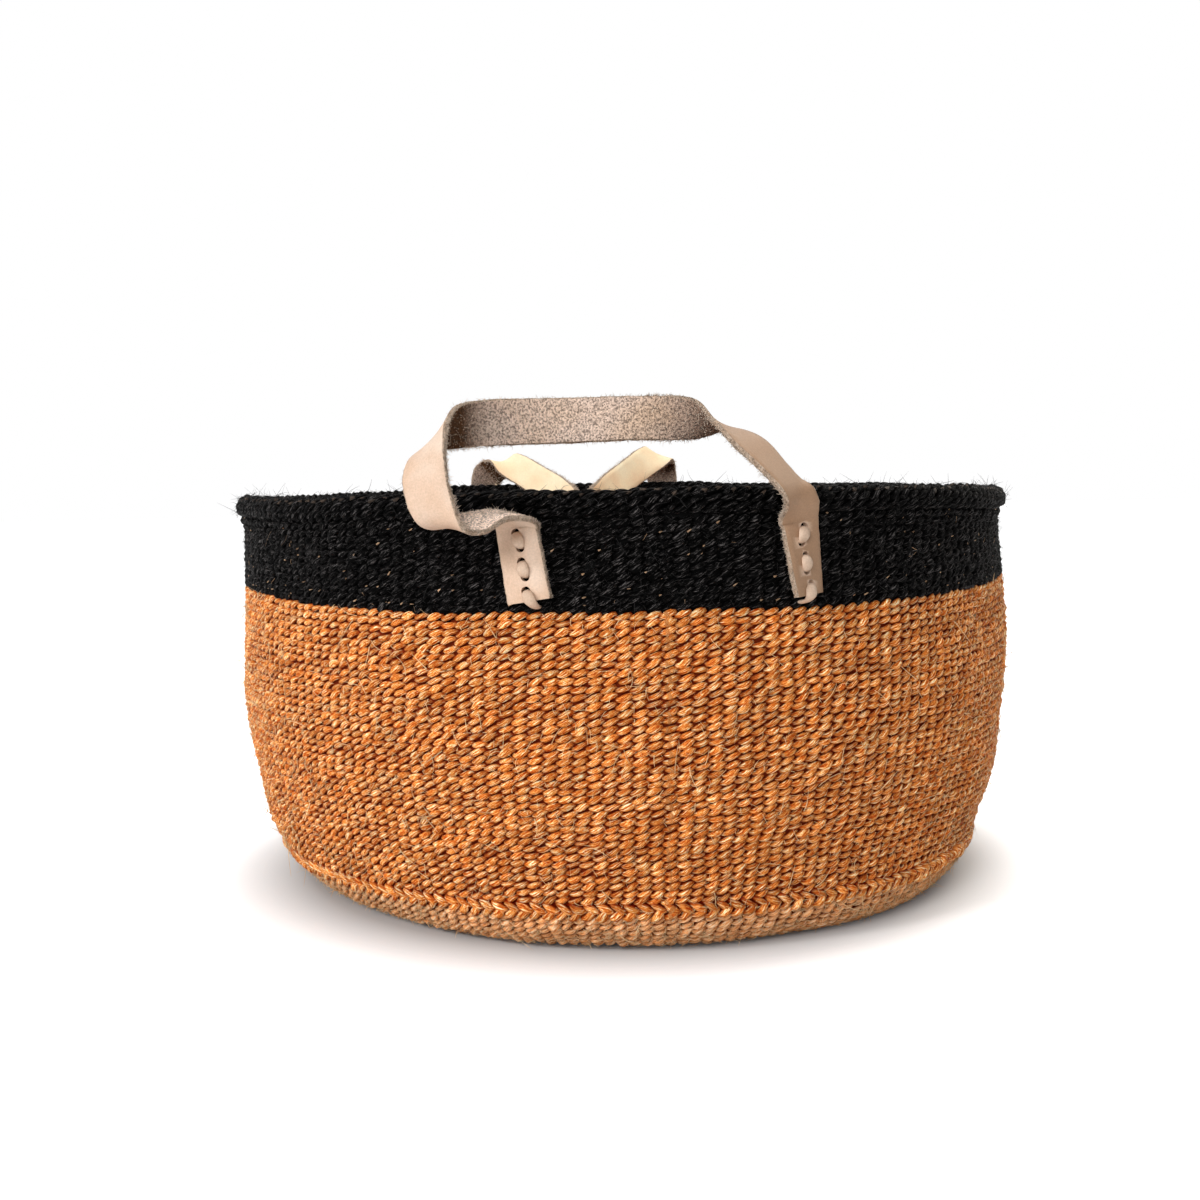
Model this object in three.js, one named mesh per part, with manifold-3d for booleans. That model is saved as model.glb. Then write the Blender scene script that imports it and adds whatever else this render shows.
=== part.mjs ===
// Floor basket: a round twined basket with a rolled rim and two laced strap handles.
// Sizes are in millimetres. The floor is Z = 0, the basket's axis is Z, and the front handle is on the -Y side.
import * as THREE from "three";
import { mergeVertices } from "three/addons/utils/BufferGeometryUtils.js";
import Module from "manifold-3d";

// Sizes of the basket
const RIM_RADIUS = 250; // outside of the rolled rim
const HEIGHT = 250; // floor to the top of the rim
const WALL = 8; // thickness of the weave
const ROLL = 15; // diameter of the rolled rim
const CORE = 9; // diameter of the bundle inside the rim
const NECK_IN = 4.5; // the wall under the rim lies this far inside the rim's face
const BELLY_IN = 0.5; // the widest part of the wall, inside the rim's face
const BELLY_HEIGHT = 130; // height of the widest part
const FOOT_IN = 24; // the foot of the wall, inside the rim's face
const EDGE_RADIUS = 34; // rounding between the base and the wall
const EDGE_TURN = 75; // degrees of that rounding
const HEEL = 7; // height of the heel course
const HEEL_RISE = 1.5; // how far the heel course stands out
const BAND_HEIGHT = 63; // dark band, rim included

// Sizes of the handles
const STRAP_WIDTH = 24;
const STRAP_THICK = 3;
const TAB_ANGLE = 17; // degrees from the middle of the handle to each tab
const TAB_TOP = 3.5; // the tab's free end line, below the rim
const TAB_FOOT = 6; // the tab's lower end, above the foot of the dark band
const HOLES = 5; // lace holes in a tab
const HOLE_END = 5.4; // lowest hole, from the tab's end
const HOLE_TOP = 1.2; // leather between the top hole and the bending line
const LACE_WIDTH = 4.2;
const LACE_THICK = 2;
const LACE_FOOT = 3.5; // where the lace goes into the weave, below the tab's end
const KNOT = 8; // diameter of the knots inside the basket
const FRONT_LEAN = 5; // degrees that the front tabs lean
const REAR_TURN = 3.2; // degrees that the rear handle is set round from opposite the front one
const BOW = 10; // the length in which the straps' free routes are measured
const REAR_RISE = 5; // the rear strap's bending line, above the rim

// Clearances and steps
const SEAM = 0.3; // between pieces that touch
const SEAT = 0.4; // between a strap and the weave, and round a lace
const INNER_SEAT = 0.9; // between the weave's inner face and a lace or knot
const RIM_GAP = 0.7; // more room where a strap bends round the rim
const SIDES = 48; // flats round the basket

const deg = Math.PI / 180;
const rollRadius = ROLL / 2;
const rollCentre = RIM_RADIUS - rollRadius;
const rollHeight = HEIGHT - rollRadius;
const neckRadius = RIM_RADIUS - NECK_IN;
const bellyRadius = RIM_RADIUS - BELLY_IN;
const footRadius = RIM_RADIUS - FOOT_IN;
const flatRadius = footRadius - EDGE_RADIUS * Math.sin(EDGE_TURN * deg);
const footHeight = EDGE_RADIUS * (1 - Math.cos(EDGE_TURN * deg));
const wallTop = HEIGHT - ROLL;
const bandFoot = HEIGHT - BAND_HEIGHT;
const heelFoot = footHeight - HEEL / 2;
const heelTop = footHeight + HEEL / 2;
const tabTop = wallTop - TAB_TOP;
const tabFoot = bandFoot + TAB_FOOT;
const holeRadius = LACE_WIDTH / 2 + SEAT;

const wasm = await Module();
wasm.setup();

const weaveTan = new THREE.MeshStandardMaterial({ color: 0xb8743a, roughness: 0.9, metalness: 0 });
const weaveBlack = new THREE.MeshStandardMaterial({ color: 0x16140f, roughness: 0.85, metalness: 0 });
const leather = new THREE.MeshStandardMaterial({ color: 0xd3b397, roughness: 0.7, metalness: 0 });
const basket = new THREE.Group();

function add(name, geometry, material) {
  const mesh = new THREE.Mesh(geometry, material);
  mesh.name = name;
  basket.add(mesh);
}

// A closed body from its points and triangles, turned so that its faces look out.
function closedBody(points, triangles) {
  const geometry = new THREE.BufferGeometry();
  geometry.setAttribute("position", new THREE.Float32BufferAttribute(points.flatMap((p) => [p.x, p.y, p.z]), 3));
  let volume = 0;
  for (const [a, b, c] of triangles) {
    volume += points[a].dot(new THREE.Vector3().crossVectors(points[b], points[c]));
  }
  const order = volume < 0 ? ([a, b, c]) => [a, c, b] : (t) => t;
  geometry.setIndex(triangles.flatMap(order));
  geometry.computeVertexNormals();
  return geometry;
}

function toSolid(geometry) {
  const bare = new THREE.BufferGeometry();
  bare.setAttribute("position", geometry.getAttribute("position").clone());
  if (geometry.index) {
    bare.setIndex(geometry.index.clone());
  }
  const merged = mergeVertices(bare, 1e-4);
  return new wasm.Manifold(new wasm.Mesh({
    numProp: 3,
    vertProperties: new Float32Array(merged.getAttribute("position").array),
    triVerts: new Uint32Array(merged.index.array),
  }));
}

function toGeometry(solid) {
  const mesh = solid.getMesh();
  const geometry = new THREE.BufferGeometry();
  geometry.setAttribute("position", new THREE.Float32BufferAttribute(mesh.vertProperties, 3));
  geometry.setIndex(Array.from(mesh.triVerts));
  geometry.computeVertexNormals();
  return geometry;
}

function cut(geometry, tools) {
  return toGeometry(tools.reduce((solid, tool) => solid.subtract(toSolid(tool)), toSolid(geometry)));
}

function join(geometries) {
  const [first, ...others] = geometries.map(toSolid);
  return toGeometry(others.reduce((solid, other) => solid.add(other), first));
}

// Turns a profile of [radius, height] points about the axis. Points at radius 0 close it.
function revolve(profile) {
  const points = [];
  const rows = profile.map(([radius, height]) => {
    const row = [];
    const count = radius > 0 ? SIDES : 1;
    for (let i = 0; i < count; i++) {
      const angle = (i / SIDES) * 2 * Math.PI;
      row.push(points.push(new THREE.Vector3(radius * Math.cos(angle), radius * Math.sin(angle), height)) - 1);
    }
    return row;
  });
  const triangles = [];
  const onAxis = rows[0].length === 1;
  for (let k = 0; k < rows.length - (onAxis ? 1 : 0); k++) {
    const low = rows[k];
    const high = rows[(k + 1) % rows.length];
    for (let i = 0; i < SIDES; i++) {
      const j = (i + 1) % SIDES;
      if (low.length > 1) {
        triangles.push([low[i], low[j], high[j % high.length]]);
      }
      if (high.length > 1) {
        triangles.push([low[i % low.length], high[j], high[i]]);
      }
    }
  }
  return closedBody(points, triangles);
}

// Radius of the weave's outer face at a height, with the outward direction there.
function wallAt(height) {
  if (height < footHeight) {
    const angle = Math.acos(1 - height / EDGE_RADIUS);
    return { radius: flatRadius + EDGE_RADIUS * Math.sin(angle), height, out: [Math.sin(angle), -Math.cos(angle)] };
  }
  const lower = height < BELLY_HEIGHT;
  const span = lower ? BELLY_HEIGHT - footHeight : wallTop - BELLY_HEIGHT;
  const angle = (Math.PI / 2) * (lower ? (height - footHeight) / span : (height - BELLY_HEIGHT) / span);
  const step = lower ? bellyRadius - footRadius : bellyRadius - neckRadius;
  const radius = lower ? footRadius + step * Math.sin(angle) : neckRadius + step * Math.cos(angle);
  const slope = ((lower ? Math.cos(angle) : -Math.sin(angle)) * step * Math.PI) / 2 / span;
  const length = Math.hypot(1, slope);
  return { radius, height, out: [1 / length, -slope / length] };
}

// The wall's outer face between two heights and its inner face back down, a wall's thickness in.
function wallProfile(low, high, steps, rise = 0) {
  const outer = [];
  const inner = [];
  for (let i = 0; i <= steps; i++) {
    const { radius, height, out } = wallAt(low + ((high - low) * i) / steps);
    const swell = rise * Math.sin((Math.PI * i) / steps);
    outer.push([radius + swell * out[0], height + swell * out[1]]);
    inner.unshift([radius - WALL * out[0], height - WALL * out[1]]);
  }
  return [...outer, ...inner];
}

// A strip carried along stations, each with its middle, the way across and the way out.
function sweep(stations, section) {
  const points = [];
  for (const { middle, across, out } of stations) {
    for (const [a, b] of section) {
      points.push(middle.clone().addScaledVector(across, a).addScaledVector(out, b));
    }
  }
  const count = section.length;
  const last = points.length - count;
  const triangles = [];
  for (let k = 0; k < last; k += count) {
    for (let i = 0; i < count; i++) {
      const j = (i + 1) % count;
      triangles.push([k + i, k + j, k + count + j], [k + i, k + count + j, k + count + i]);
    }
  }
  for (let i = 1; i < count - 1; i++) {
    triangles.push([0, i + 1, i], [last, last + i, last + i + 1]);
  }
  return closedBody(points, triangles);
}

// The base, the wall's bands and the rim.
const baseOuter = [[0, 0]];
const baseInner = [[0, WALL]];
for (let i = 0; i <= 5; i++) {
  const { radius, height, out } = wallAt(((heelFoot - SEAM) * i * i) / 25);
  baseOuter.push([radius, height]);
  baseInner.push([radius - WALL * out[0], height - WALL * out[1]]);
}
add("base_weave", revolve([...baseOuter, ...baseInner.reverse()]), weaveTan);
add("heel_course", revolve(wallProfile(heelFoot, heelTop, 3, HEEL_RISE)), weaveTan);
add("tan_wall", revolve(wallProfile(heelTop + SEAM, bandFoot - SEAM, 8)), weaveTan);

function arc(radius, from, to, steps) {
  const points = [];
  for (let i = 0; i <= steps; i++) {
    const angle = (from + ((to - from) * i) / steps) * deg;
    points.push([rollCentre + radius * Math.cos(angle), rollHeight + radius * Math.sin(angle)]);
  }
  return points;
}
add("rim_core", revolve(arc(CORE / 2, 0, 315, 7)), weaveBlack);
const binding = [...arc(rollRadius, -70, 250, 10), ...arc(CORE / 2 + SEAM * 2, 250, -70, 8)];
add("rim_binding", revolve(binding), weaveBlack);

// Where the straps go between their tabs, as seen from outside. Each place has the share of the way from the
// left tab to the right one, its distances to the right, outward and up from the rim's face there, in bows,
// and the way across the strap in the same directions.
const FRONT_ROUTE = [
  [0, -0.3, 0.45, -1.35, 0.66, 0.74, -0.1],
  [0, -1.3, 1.1, -1.25, 0.4, 0.9, -0.15],
  [0, -2.4, 1.7, -1.6, 0.28, 0.88, -0.36],
  [0, -3.4, 2.2, -1.7, 0.62, 0.78, -0.1],
  [0, -4.3, 2.5, -0.9, 0.87, 0.45, 0.2],
  [0, -4.7, 2.3, 0.6, 0.92, 0.39, 0.05],
  [0, -4.6, 1.7, 1.8, 0.76, 0.6, 0.25],
  [0, -4.1, 0.7, 2.7, 0.45, 0.69, 0.57],
  [0, -3.1, -0.3, 3.2, 0.15, 0.5, 0.85],
  [0, -1.4, -1.1, 3.4, 0, 0.4, 0.92],
  [0.2, -0.1, -2.4, 3.5, 0, 0.35, 0.94],
  [0.46, 0, -2.5, 3.6, 0, 0.4, 0.92],
  [0.6, 0.2, -2.1, 3.5, -0.12, 0.6, 0.79],
  [0.7, 0.2, -1.4, 3.1, -0.35, 0.93, 0.1],
  [0.8, 0, -0.5, 2.2, -0.52, 0.8, -0.3],
  [0.9, -0.1, 0.3, 0.9, -0.66, 0.7, -0.28],
  [1, -0.5, 0.6, -0.3, -0.92, 0.38, -0.1],
  [1, -0.05, 0.35, -1.05, -0.95, 0.3, -0.04],
];
const REAR_ROUTE = [
  [0, 0.1, 0.2, 1.9, 0.95, 0.26, 0.2],
  [0, 0.4, -0.7, 2.4, 0.91, 0.11, 0.38],
  [0, 1.4, -1.8, 2, 0.75, 0.05, 0.66],
  [0.2, -0.1, -3.1, 1.1, 0.54, -0.02, 0.84],
  [0.34, 0, -5.4, -0.1, 0.51, -0.07, 0.86],
  [0.44, 0, -7.3, -1, 0.37, -0.38, 0.85],
  [0.54, 0, -8.6, -1.5, 0, -0.6, 0.8],
  [0.62, 0, -7.3, -1.1, -0.34, -0.4, 0.85],
  [0.68, 0, -5.6, -0.4, -0.5, -0.13, 0.86],
  [0.75, 0, -3.2, 0.6, -0.5, -0.08, 0.86],
  [0.81, 0, -1.4, 1.5, -0.72, -0.05, 0.68],
  [1, -1.3, 0, 1.9, -0.94, 0.08, 0.3],
  [1, 0, 0.3, 1.2, -0.95, 0.28, 0.05],
];
const STRAP_SECTION = [
  [-0.5, -0.3], [-0.47, -0.5], [0.47, -0.5], [0.5, -0.3],
  [0.5, 0.3], [0.47, 0.5], [-0.47, 0.5], [-0.5, 0.3],
].map(([a, b]) => [a * STRAP_WIDTH, b * STRAP_THICK]);
const LACE_SECTION = [
  [-0.5, 0], [-0.3, -0.5], [0.3, -0.5], [0.5, 0], [0.3, 0.5], [-0.3, 0.5],
].map(([a, b]) => [a * LACE_WIDTH, b * LACE_THICK]);

// A tab's own axes: its lower end's middle, up along the strap, across it towards the handle's middle, and out.
function tabAxes(side, lean) {
  const angle = side * TAB_ANGLE * deg;
  const { radius, out } = wallAt((tabTop + tabFoot) / 2);
  const outward = new THREE.Vector3(Math.sin(angle) * out[0], -Math.cos(angle) * out[0], out[1]);
  const right = new THREE.Vector3(Math.cos(angle), Math.sin(angle), 0);
  const up = new THREE.Vector3().crossVectors(outward, right);
  up.applyAxisAngle(outward, lean * deg);
  const across = new THREE.Vector3().crossVectors(up, outward).multiplyScalar(-side);
  const length = (tabTop - tabFoot) / up.z;
  const middle = new THREE.Vector3(Math.sin(angle) * radius, -Math.cos(angle) * radius, (tabTop + tabFoot) / 2);
  middle.addScaledVector(outward, SEAT + STRAP_THICK / 2);
  const end = middle.clone().addScaledVector(up, -length / 2);
  return { end, up, across, out: outward, length };
}

function rimFace(side) {
  const radius = RIM_RADIUS + SEAT + STRAP_THICK / 2;
  const angle = side * TAB_ANGLE * deg;
  return new THREE.Vector3(radius * Math.sin(angle), -radius * Math.cos(angle), HEIGHT);
}

// Stations of a strap between two of its places.
function strapStations(places, from, to, steps) {
  const middles = new THREE.CatmullRomCurve3(places.map((p) => p.middle), false, "centripetal");
  const ways = new THREE.CatmullRomCurve3(places.map((p) => p.across), false, "catmullrom", 0.5);
  const stations = [];
  for (let i = 0; i <= steps; i++) {
    const t = (from + ((to - from) * i) / steps) / (places.length - 1);
    const along = middles.getTangent(t);
    const across = ways.getPoint(t);
    across.addScaledVector(along, -across.dot(along)).normalize();
    const out = new THREE.Vector3().crossVectors(across, along);
    stations.push({ middle: middles.getPoint(t), across, out, along });
  }
  return stations;
}

// The two faces of the cut between a tab and the loop, half a seam to either side.
function cutFaces({ middle, across, out, along }) {
  return [-0.5, 0.5].map((half) => ({ middle: middle.clone().addScaledVector(along, half * SEAM), across, out }));
}

// The lace's way in and out of a tab's holes, as [along the tab, out from the strap's middle].
function lacePath(length) {
  const pitch = (length - HOLE_END - holeRadius - HOLE_TOP) / (HOLES - 1);
  const outside = STRAP_THICK / 2 + SEAT + LACE_THICK / 2;
  const innerFace = -STRAP_THICK / 2 - SEAT - WALL - INNER_SEAT;
  const inside = innerFace - LACE_THICK / 2;
  const holes = [];
  for (let i = HOLES - 1; i >= 0; i--) {
    holes.push(HOLE_END + i * pitch);
  }
  holes.push(-LACE_FOOT);
  const corners = [[holes[0], innerFace - KNOT / 2]];
  holes.forEach((along, i) => {
    const last = i === holes.length - 1;
    const before = i % 2 === 0 ? inside : outside;
    const after = i % 2 === 0 ? outside : inside;
    if (i > 0) {
      corners.push([along, before]);
    }
    corners.push([along, last ? innerFace - KNOT / 2 : after]);
  });
  return { holes, corners };
}

function laceStations(axes, corners) {
  const round = LACE_THICK * 0.8;
  const flat = corners.map(([along, out]) => new THREE.Vector2(along, out));
  const path = [flat[0]];
  for (let i = 1; i < flat.length - 1; i++) {
    const into = flat[i].clone().sub(flat[i - 1]).normalize();
    const away = flat[i + 1].clone().sub(flat[i]).normalize();
    const start = flat[i].clone().addScaledVector(into, -round);
    const finish = flat[i].clone().addScaledVector(away, round);
    path.push(...new THREE.QuadraticBezierCurve(start, flat[i], finish).getPoints(3));
  }
  path.push(flat[flat.length - 1]);
  return path.map((p, i) => {
    const before = path[Math.max(i - 1, 0)];
    const after = path[Math.min(i + 1, path.length - 1)];
    const along = after.clone().sub(before).normalize();
    const place = (v) => axes.up.clone().multiplyScalar(v.x).addScaledVector(axes.out, v.y);
    return { middle: axes.end.clone().add(place(p)), across: axes.across, out: place(new THREE.Vector2(-along.y, along.x)) };
  });
}

function placed(geometry, axes, along, out) {
  const middle = axes.end.clone().addScaledVector(axes.up, along).addScaledVector(axes.out, out);
  const third = new THREE.Vector3().crossVectors(axes.across, axes.out);
  geometry.applyMatrix4(new THREE.Matrix4().makeBasis(axes.across, axes.out, third).setPosition(middle));
  return geometry;
}

const slots = [];
function addHandle(name, turn, lean, riser, route) {
  const spin = new THREE.Matrix4().makeRotationZ(turn * deg);
  const sides = [-1, 1];
  const axes = sides.map((side) => tabAxes(side, lean));
  const faces = sides.map(rimFace);
  const onTab = (k, along) => ({
    middle: axes[k].end.clone().addScaledVector(axes[k].up, along),
    across: axes[k].across.clone(),
  });
  const fromRim = ([share, right, out, up, x, y, z]) => ({
    middle: faces[0].clone().lerp(faces[1], share).add(new THREE.Vector3(right, -out, up).multiplyScalar(BOW)),
    across: new THREE.Vector3(x, -y, z).normalize(),
  });
  const rise = (k) => riser.map(([out, up]) => {
    const outward = axes[k].out.clone().setZ(0).normalize();
    const middle = faces[k].clone().addScaledVector(outward, out);
    middle.z += up;
    return { middle, across: onTab(k, 0).across };
  });
  const places = [
    onTab(0, axes[0].length - STRAP_THICK), onTab(0, axes[0].length), ...rise(0), ...route.map(fromRim),
    ...rise(1).reverse(), onTab(1, axes[1].length), onTab(1, axes[1].length - STRAP_THICK),
  ];
  const first = 1 + riser.length;
  const last = places.length - 1 - first;
  const ends = sides.map((side, k) => {
    const ordered = k === 0 ? places : [...places].reverse();
    const rising = strapStations(ordered, 1, first, riser.length * 4 || 1).slice(0, riser.length * 4 + 1);
    rising[0] = { ...onTab(k, axes[k].length), along: axes[k].up, out: axes[k].out };
    rising.slice(1).forEach((station) => station.out.multiplyScalar(-side));
    const [below, above] = cutFaces(rising.pop());
    const foot = { ...onTab(k, 0), out: axes[k].out };
    return { tab: [foot, ...rising, below], loop: above };
  });
  const free = strapStations(places, first, last, (last - first) * 3).slice(1, -1);
  const loop = sweep([ends[0].loop, ...free, ends[1].loop], STRAP_SECTION);
  add(`${name}_handle_loop`, loop.applyMatrix4(spin), leather);

  sides.forEach((side, k) => {
    const label = `${name}_${side < 0 ? "left" : "right"}`;
    const { holes, corners } = lacePath(axes[k].length);
    const punches = holes.slice(0, HOLES).map((along) => (
      placed(new THREE.CylinderGeometry(holeRadius, holeRadius, STRAP_THICK * 3, 12), axes[k], along, 0)
    ));
    const tab = cut(sweep(ends[k].tab, STRAP_SECTION), punches);
    add(`${label}_tab`, tab.applyMatrix4(spin), leather);
    for (const along of holes) {
      const slot = new THREE.BoxGeometry(LACE_WIDTH + 2 * SEAT, WALL * 3, LACE_THICK + 2 * SEAT);
      slots.push(placed(slot, axes[k], along, -WALL).applyMatrix4(spin));
    }
    const knots = [corners[0], corners[corners.length - 1]].map(([along, out]) => (
      placed(new THREE.SphereGeometry(KNOT / 2, 8, 6), axes[k], along, out)
    ));
    const lace = join([sweep(laceStations(axes[k], corners), LACE_SECTION), ...knots]);
    add(`${label}_lace`, lace.applyMatrix4(spin), leather);
  });
}
addHandle("front", 0, FRONT_LEAN, [], FRONT_ROUTE);
// The rear strap first bends round the rim's face, which stays with the basket.
const strapFace = rollRadius + SEAT + STRAP_THICK / 2;
const bend = strapFace + RIM_GAP;
const rearRiser = [-45, 0].map((angle) => [
  bend * Math.cos(angle * deg) - strapFace, bend * Math.sin(angle * deg) - rollRadius,
]);
addHandle("rear", 180 + REAR_TURN, 0, [...rearRiser, [RIM_GAP, REAR_RISE]], REAR_ROUTE);
add("black_band", cut(revolve(wallProfile(bandFoot, wallTop - SEAM, 3)), slots), weaveBlack);

export default basket;
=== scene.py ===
"""Floor basket: a round basket of twined sisal with a dark rolled rim, and two leather straps laced to it."""
import math
from collections import namedtuple
import bmesh
import bpy
import numpy as np
from mathutils import Matrix, Vector


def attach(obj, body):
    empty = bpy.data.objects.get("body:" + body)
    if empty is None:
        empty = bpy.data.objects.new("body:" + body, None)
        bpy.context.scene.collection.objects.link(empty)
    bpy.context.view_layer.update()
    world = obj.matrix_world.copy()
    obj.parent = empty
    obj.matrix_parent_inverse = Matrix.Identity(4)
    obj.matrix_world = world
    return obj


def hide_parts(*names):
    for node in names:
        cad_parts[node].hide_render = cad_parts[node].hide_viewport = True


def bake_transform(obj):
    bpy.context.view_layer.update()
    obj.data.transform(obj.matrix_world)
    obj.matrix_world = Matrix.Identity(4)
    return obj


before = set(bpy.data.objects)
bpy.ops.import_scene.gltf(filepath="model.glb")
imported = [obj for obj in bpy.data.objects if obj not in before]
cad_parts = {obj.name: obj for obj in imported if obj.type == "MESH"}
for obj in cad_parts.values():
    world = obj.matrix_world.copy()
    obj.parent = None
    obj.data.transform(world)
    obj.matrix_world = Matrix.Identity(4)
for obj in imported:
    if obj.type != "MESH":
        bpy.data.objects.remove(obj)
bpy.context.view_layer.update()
rng = np.random.default_rng(7)
MM = 0.001
deg = math.pi / 180

# Sizes of the basket in millimetres and degrees, as in the part
RIM_RADIUS, HEIGHT, WALL, ROLL, CORE = 250.0, 250.0, 8.0, 15.0, 9.0
NECK_IN, BELLY_IN, BELLY_HEIGHT, FOOT_IN = 4.5, 0.5, 130.0, 24.0
EDGE_RADIUS, EDGE_TURN, HEEL, HEEL_RISE, BAND_HEIGHT = 34.0, 75.0, 7.0, 1.5, 63.0

# Sizes of the handles, as in the part
STRAP_WIDTH, STRAP_THICK, TAB_ANGLE, TAB_TOP, TAB_FOOT = 24.0, 3.0, 17.0, 3.5, 6.0
HOLES, HOLE_END, HOLE_TOP = 5, 5.4, 1.2
LACE_WIDTH, LACE_THICK, LACE_FOOT, KNOT = 4.2, 2.0, 3.5, 8.0
REAR_TURN, BOW, REAR_RISE = 3.2, 10.0, 5.0
SEAT, INNER_SEAT, RIM_GAP = 0.4, 0.9, 0.7

# How the soft leather hangs: each tab's lean to the left in degrees, its step inward, the turn of its inner
# edge at foot and top, how far aside the lace lies at each hole, from the top one down, and under the foot,
# and how far the rear strap droops
LEAN = {"front_left": 9, "front_right": 4.5, "rear_left": 0, "rear_right": 0}
ASIDE = {"front_left": 0, "front_right": 1.5, "rear_left": 0, "rear_right": 0}
CURL = {"front_left": (4, 17), "front_right": (27, 8), "rear_left": (3, 3), "rear_right": (3, 3)}
SWAY = {"front_left": (-0.6, 0.5, -0.2, 0.4, -0.6, 2.6), "front_right": (-1.6, 1.6, 0.0, 0.8, -1.4, 2.2),
        "rear_left": (0.5, -0.4, 0, 0.3, 0.4, -0.8), "rear_right": (-0.3, 0.4, 0.2, -0.4, 0, 0.9)}
REAR_DROOP = 2.2

roll_radius = ROLL / 2
roll_centre = RIM_RADIUS - roll_radius
roll_height = HEIGHT - roll_radius
neck_radius = RIM_RADIUS - NECK_IN
belly_radius = RIM_RADIUS - BELLY_IN
foot_radius = RIM_RADIUS - FOOT_IN
flat_radius = foot_radius - EDGE_RADIUS * math.sin(EDGE_TURN * deg)
foot_height = EDGE_RADIUS * (1 - math.cos(EDGE_TURN * deg))
wall_top = HEIGHT - ROLL
band_foot = HEIGHT - BAND_HEIGHT
heel_foot = foot_height - HEEL / 2
heel_top = foot_height + HEEL / 2
tab_top = wall_top - TAB_TOP
tab_foot = band_foot + TAB_FOOT
hole_radius = LACE_WIDTH / 2 + SEAT
strap_half = STRAP_WIDTH / 2

# The yarn: warps round the basket, rows in each zone, half a strand's thickness, how far it swings in and out
# and climbs, its twist for each millimetre, how thin it gets between stitches, and how its swing and width
# follow a stitch. Then the turns of the rim's first and last row, and how deep they lie.
WARPS = 198
TAN_ROWS, BLACK_ROWS, RIM_ROWS, EDGE_ROWS = 38, 12, 9, 9
YARN_HALF, YARN_SWING, YARN_LIFT = 1.75, 2.25, 1.2
PLY, THIN_OUT, THIN_SIDE = 0.12, 0.72, 0.56
SWING_POWER, FAT_SWING, WIDTH_POWER = 0.42, 0.6, 0.9
RIM_FROM, RIM_TO, RIM_DEEP = -70, 244, 2.6

# Zones of the coiled base: inner and outer radius, rows and warps
BASE_ZONES = ((158, flat_radius, 7, WARPS), (122, 158, 6, WARPS), (60, 122, 11, 100),
              (30, 60, 5, 50), (2, 30, 5, 24))

# How uneven the twining is: columns drift, sway and wander sideways, in warps, and stitches differ in
# thickness, height and tilt
COLUMN_DRIFT, COLUMN_SWAY, SWAY_EACH_ROW, ROW_WANDER, WANDERS = 0.05, 0.14, 0.45, 0.12, 7
STITCH_FAT, STITCH_SHIFT, STITCH_TILT = 0.11, 0.27, 0.26

# How the weave strays from a true round. A wave has its size, its count round the basket, its start and its
# lean with height. A swell has its size, its angle and half width in degrees, its height and half height.
WHOLE_WALL = 4 * HEIGHT
OUT_WAVES = ((0.8, 3, 0.4, 0.011), (0.6, 5, 1.9, -0.017), (0.45, 11, 0.7, 0.04), (0.3, 17, 2.1, -0.06))
UP_WAVES = ((0.7, 4, 0.3, 0), (0.5, 9, 1.2, 0), (0.3, 16, 0, 0))
ROW_WAVES = ((0.35, 5, 0, 0.05), (0.15, 13, 0, 0.1))
OUT_SWELLS = ((-3.0, 57, 13, 172, 26), (1.2, 40, 11, 120, 60), (3.5, 85, 26, 160, 40), (5.0, 80, 32, 66, 28),
              (3.0, -82, 30, 46, 18), (4.0, 32, 26, 0, 24), (-3.5, -48, 22, 8, 16))
LEFT_DIP = ((-2.0, -55, 22, HEIGHT, WHOLE_WALL),)
UP_SWELLS = ((4.0, -66, 24, band_foot, 40), (3.5, 74, 20, band_foot, 40),
             (-4.0, -105, 46, HEIGHT, 34), (-5.5, 95, 44, HEIGHT, 34))

# The height from which waves have their full size, the half width in degrees of the true wall behind a tab,
# how rows stray more the higher they lie, the ring under the rim, the drawn-in sides of the base, and the
# base's step forward and aside
WAVES_FULL, TAB_CLEAR, HIGHER_POWER = 40.0, 7.0, 1.5
COLLAR, COLLAR_HALF = 2.0, 5.0
TUCK, TUCK_HEIGHT, TUCK_HALF = 3.5, 9.0, 10.0
BASE_FORWARD, BASE_ASIDE, BASE_FADE = 8.0, 2.5, 34.0


# Shape of the basket

def wall_at(height):
    """Radius of the weave's outer face at heights, and the outward direction there."""
    h = np.atleast_1d(np.asarray(height, float))
    low_run, high_run = BELLY_HEIGHT - foot_height, wall_top - BELLY_HEIGHT
    grow, shrink = belly_radius - foot_radius, belly_radius - neck_radius
    low = (h - foot_height) / low_run * math.pi / 2
    high = (h - BELLY_HEIGHT) / high_run * math.pi / 2
    below = h < BELLY_HEIGHT
    radius = np.where(below, foot_radius + grow * np.sin(low), neck_radius + shrink * np.cos(high))
    slope = np.where(below, np.cos(low) * grow / low_run, -np.sin(high) * shrink / high_run) * math.pi / 2
    length = np.hypot(1, slope)
    edge = np.arccos(np.clip(1 - h / EDGE_RADIUS, -1, 1))
    on_edge = h < foot_height
    radius = np.where(on_edge, flat_radius + EDGE_RADIUS * np.sin(edge), radius)
    out_r = np.where(on_edge, np.sin(edge), 1 / length)
    out_z = np.where(on_edge, -np.cos(edge), -slope / length)
    return radius, out_r, out_z


def bump_at(angle, height, at, wide, level, tall):
    """A soft swelling of one millimetre about an angle in degrees and a height."""
    away = np.angle(np.exp(1j * (angle - at * deg)))
    return np.exp(-(away / (wide * deg)) ** 2 - ((height - level) / tall) ** 2)


def waves(kinds, angle, height):
    """Slow waves round the basket, added up."""
    return sum(size * np.sin(count * angle + start + lean * height) for size, count, start, lean in kinds)


def swells(kinds, angle, height):
    """Soft swellings of the wall, added up."""
    return sum(size * bump_at(angle, height, *place) for size, *place in kinds)


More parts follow.
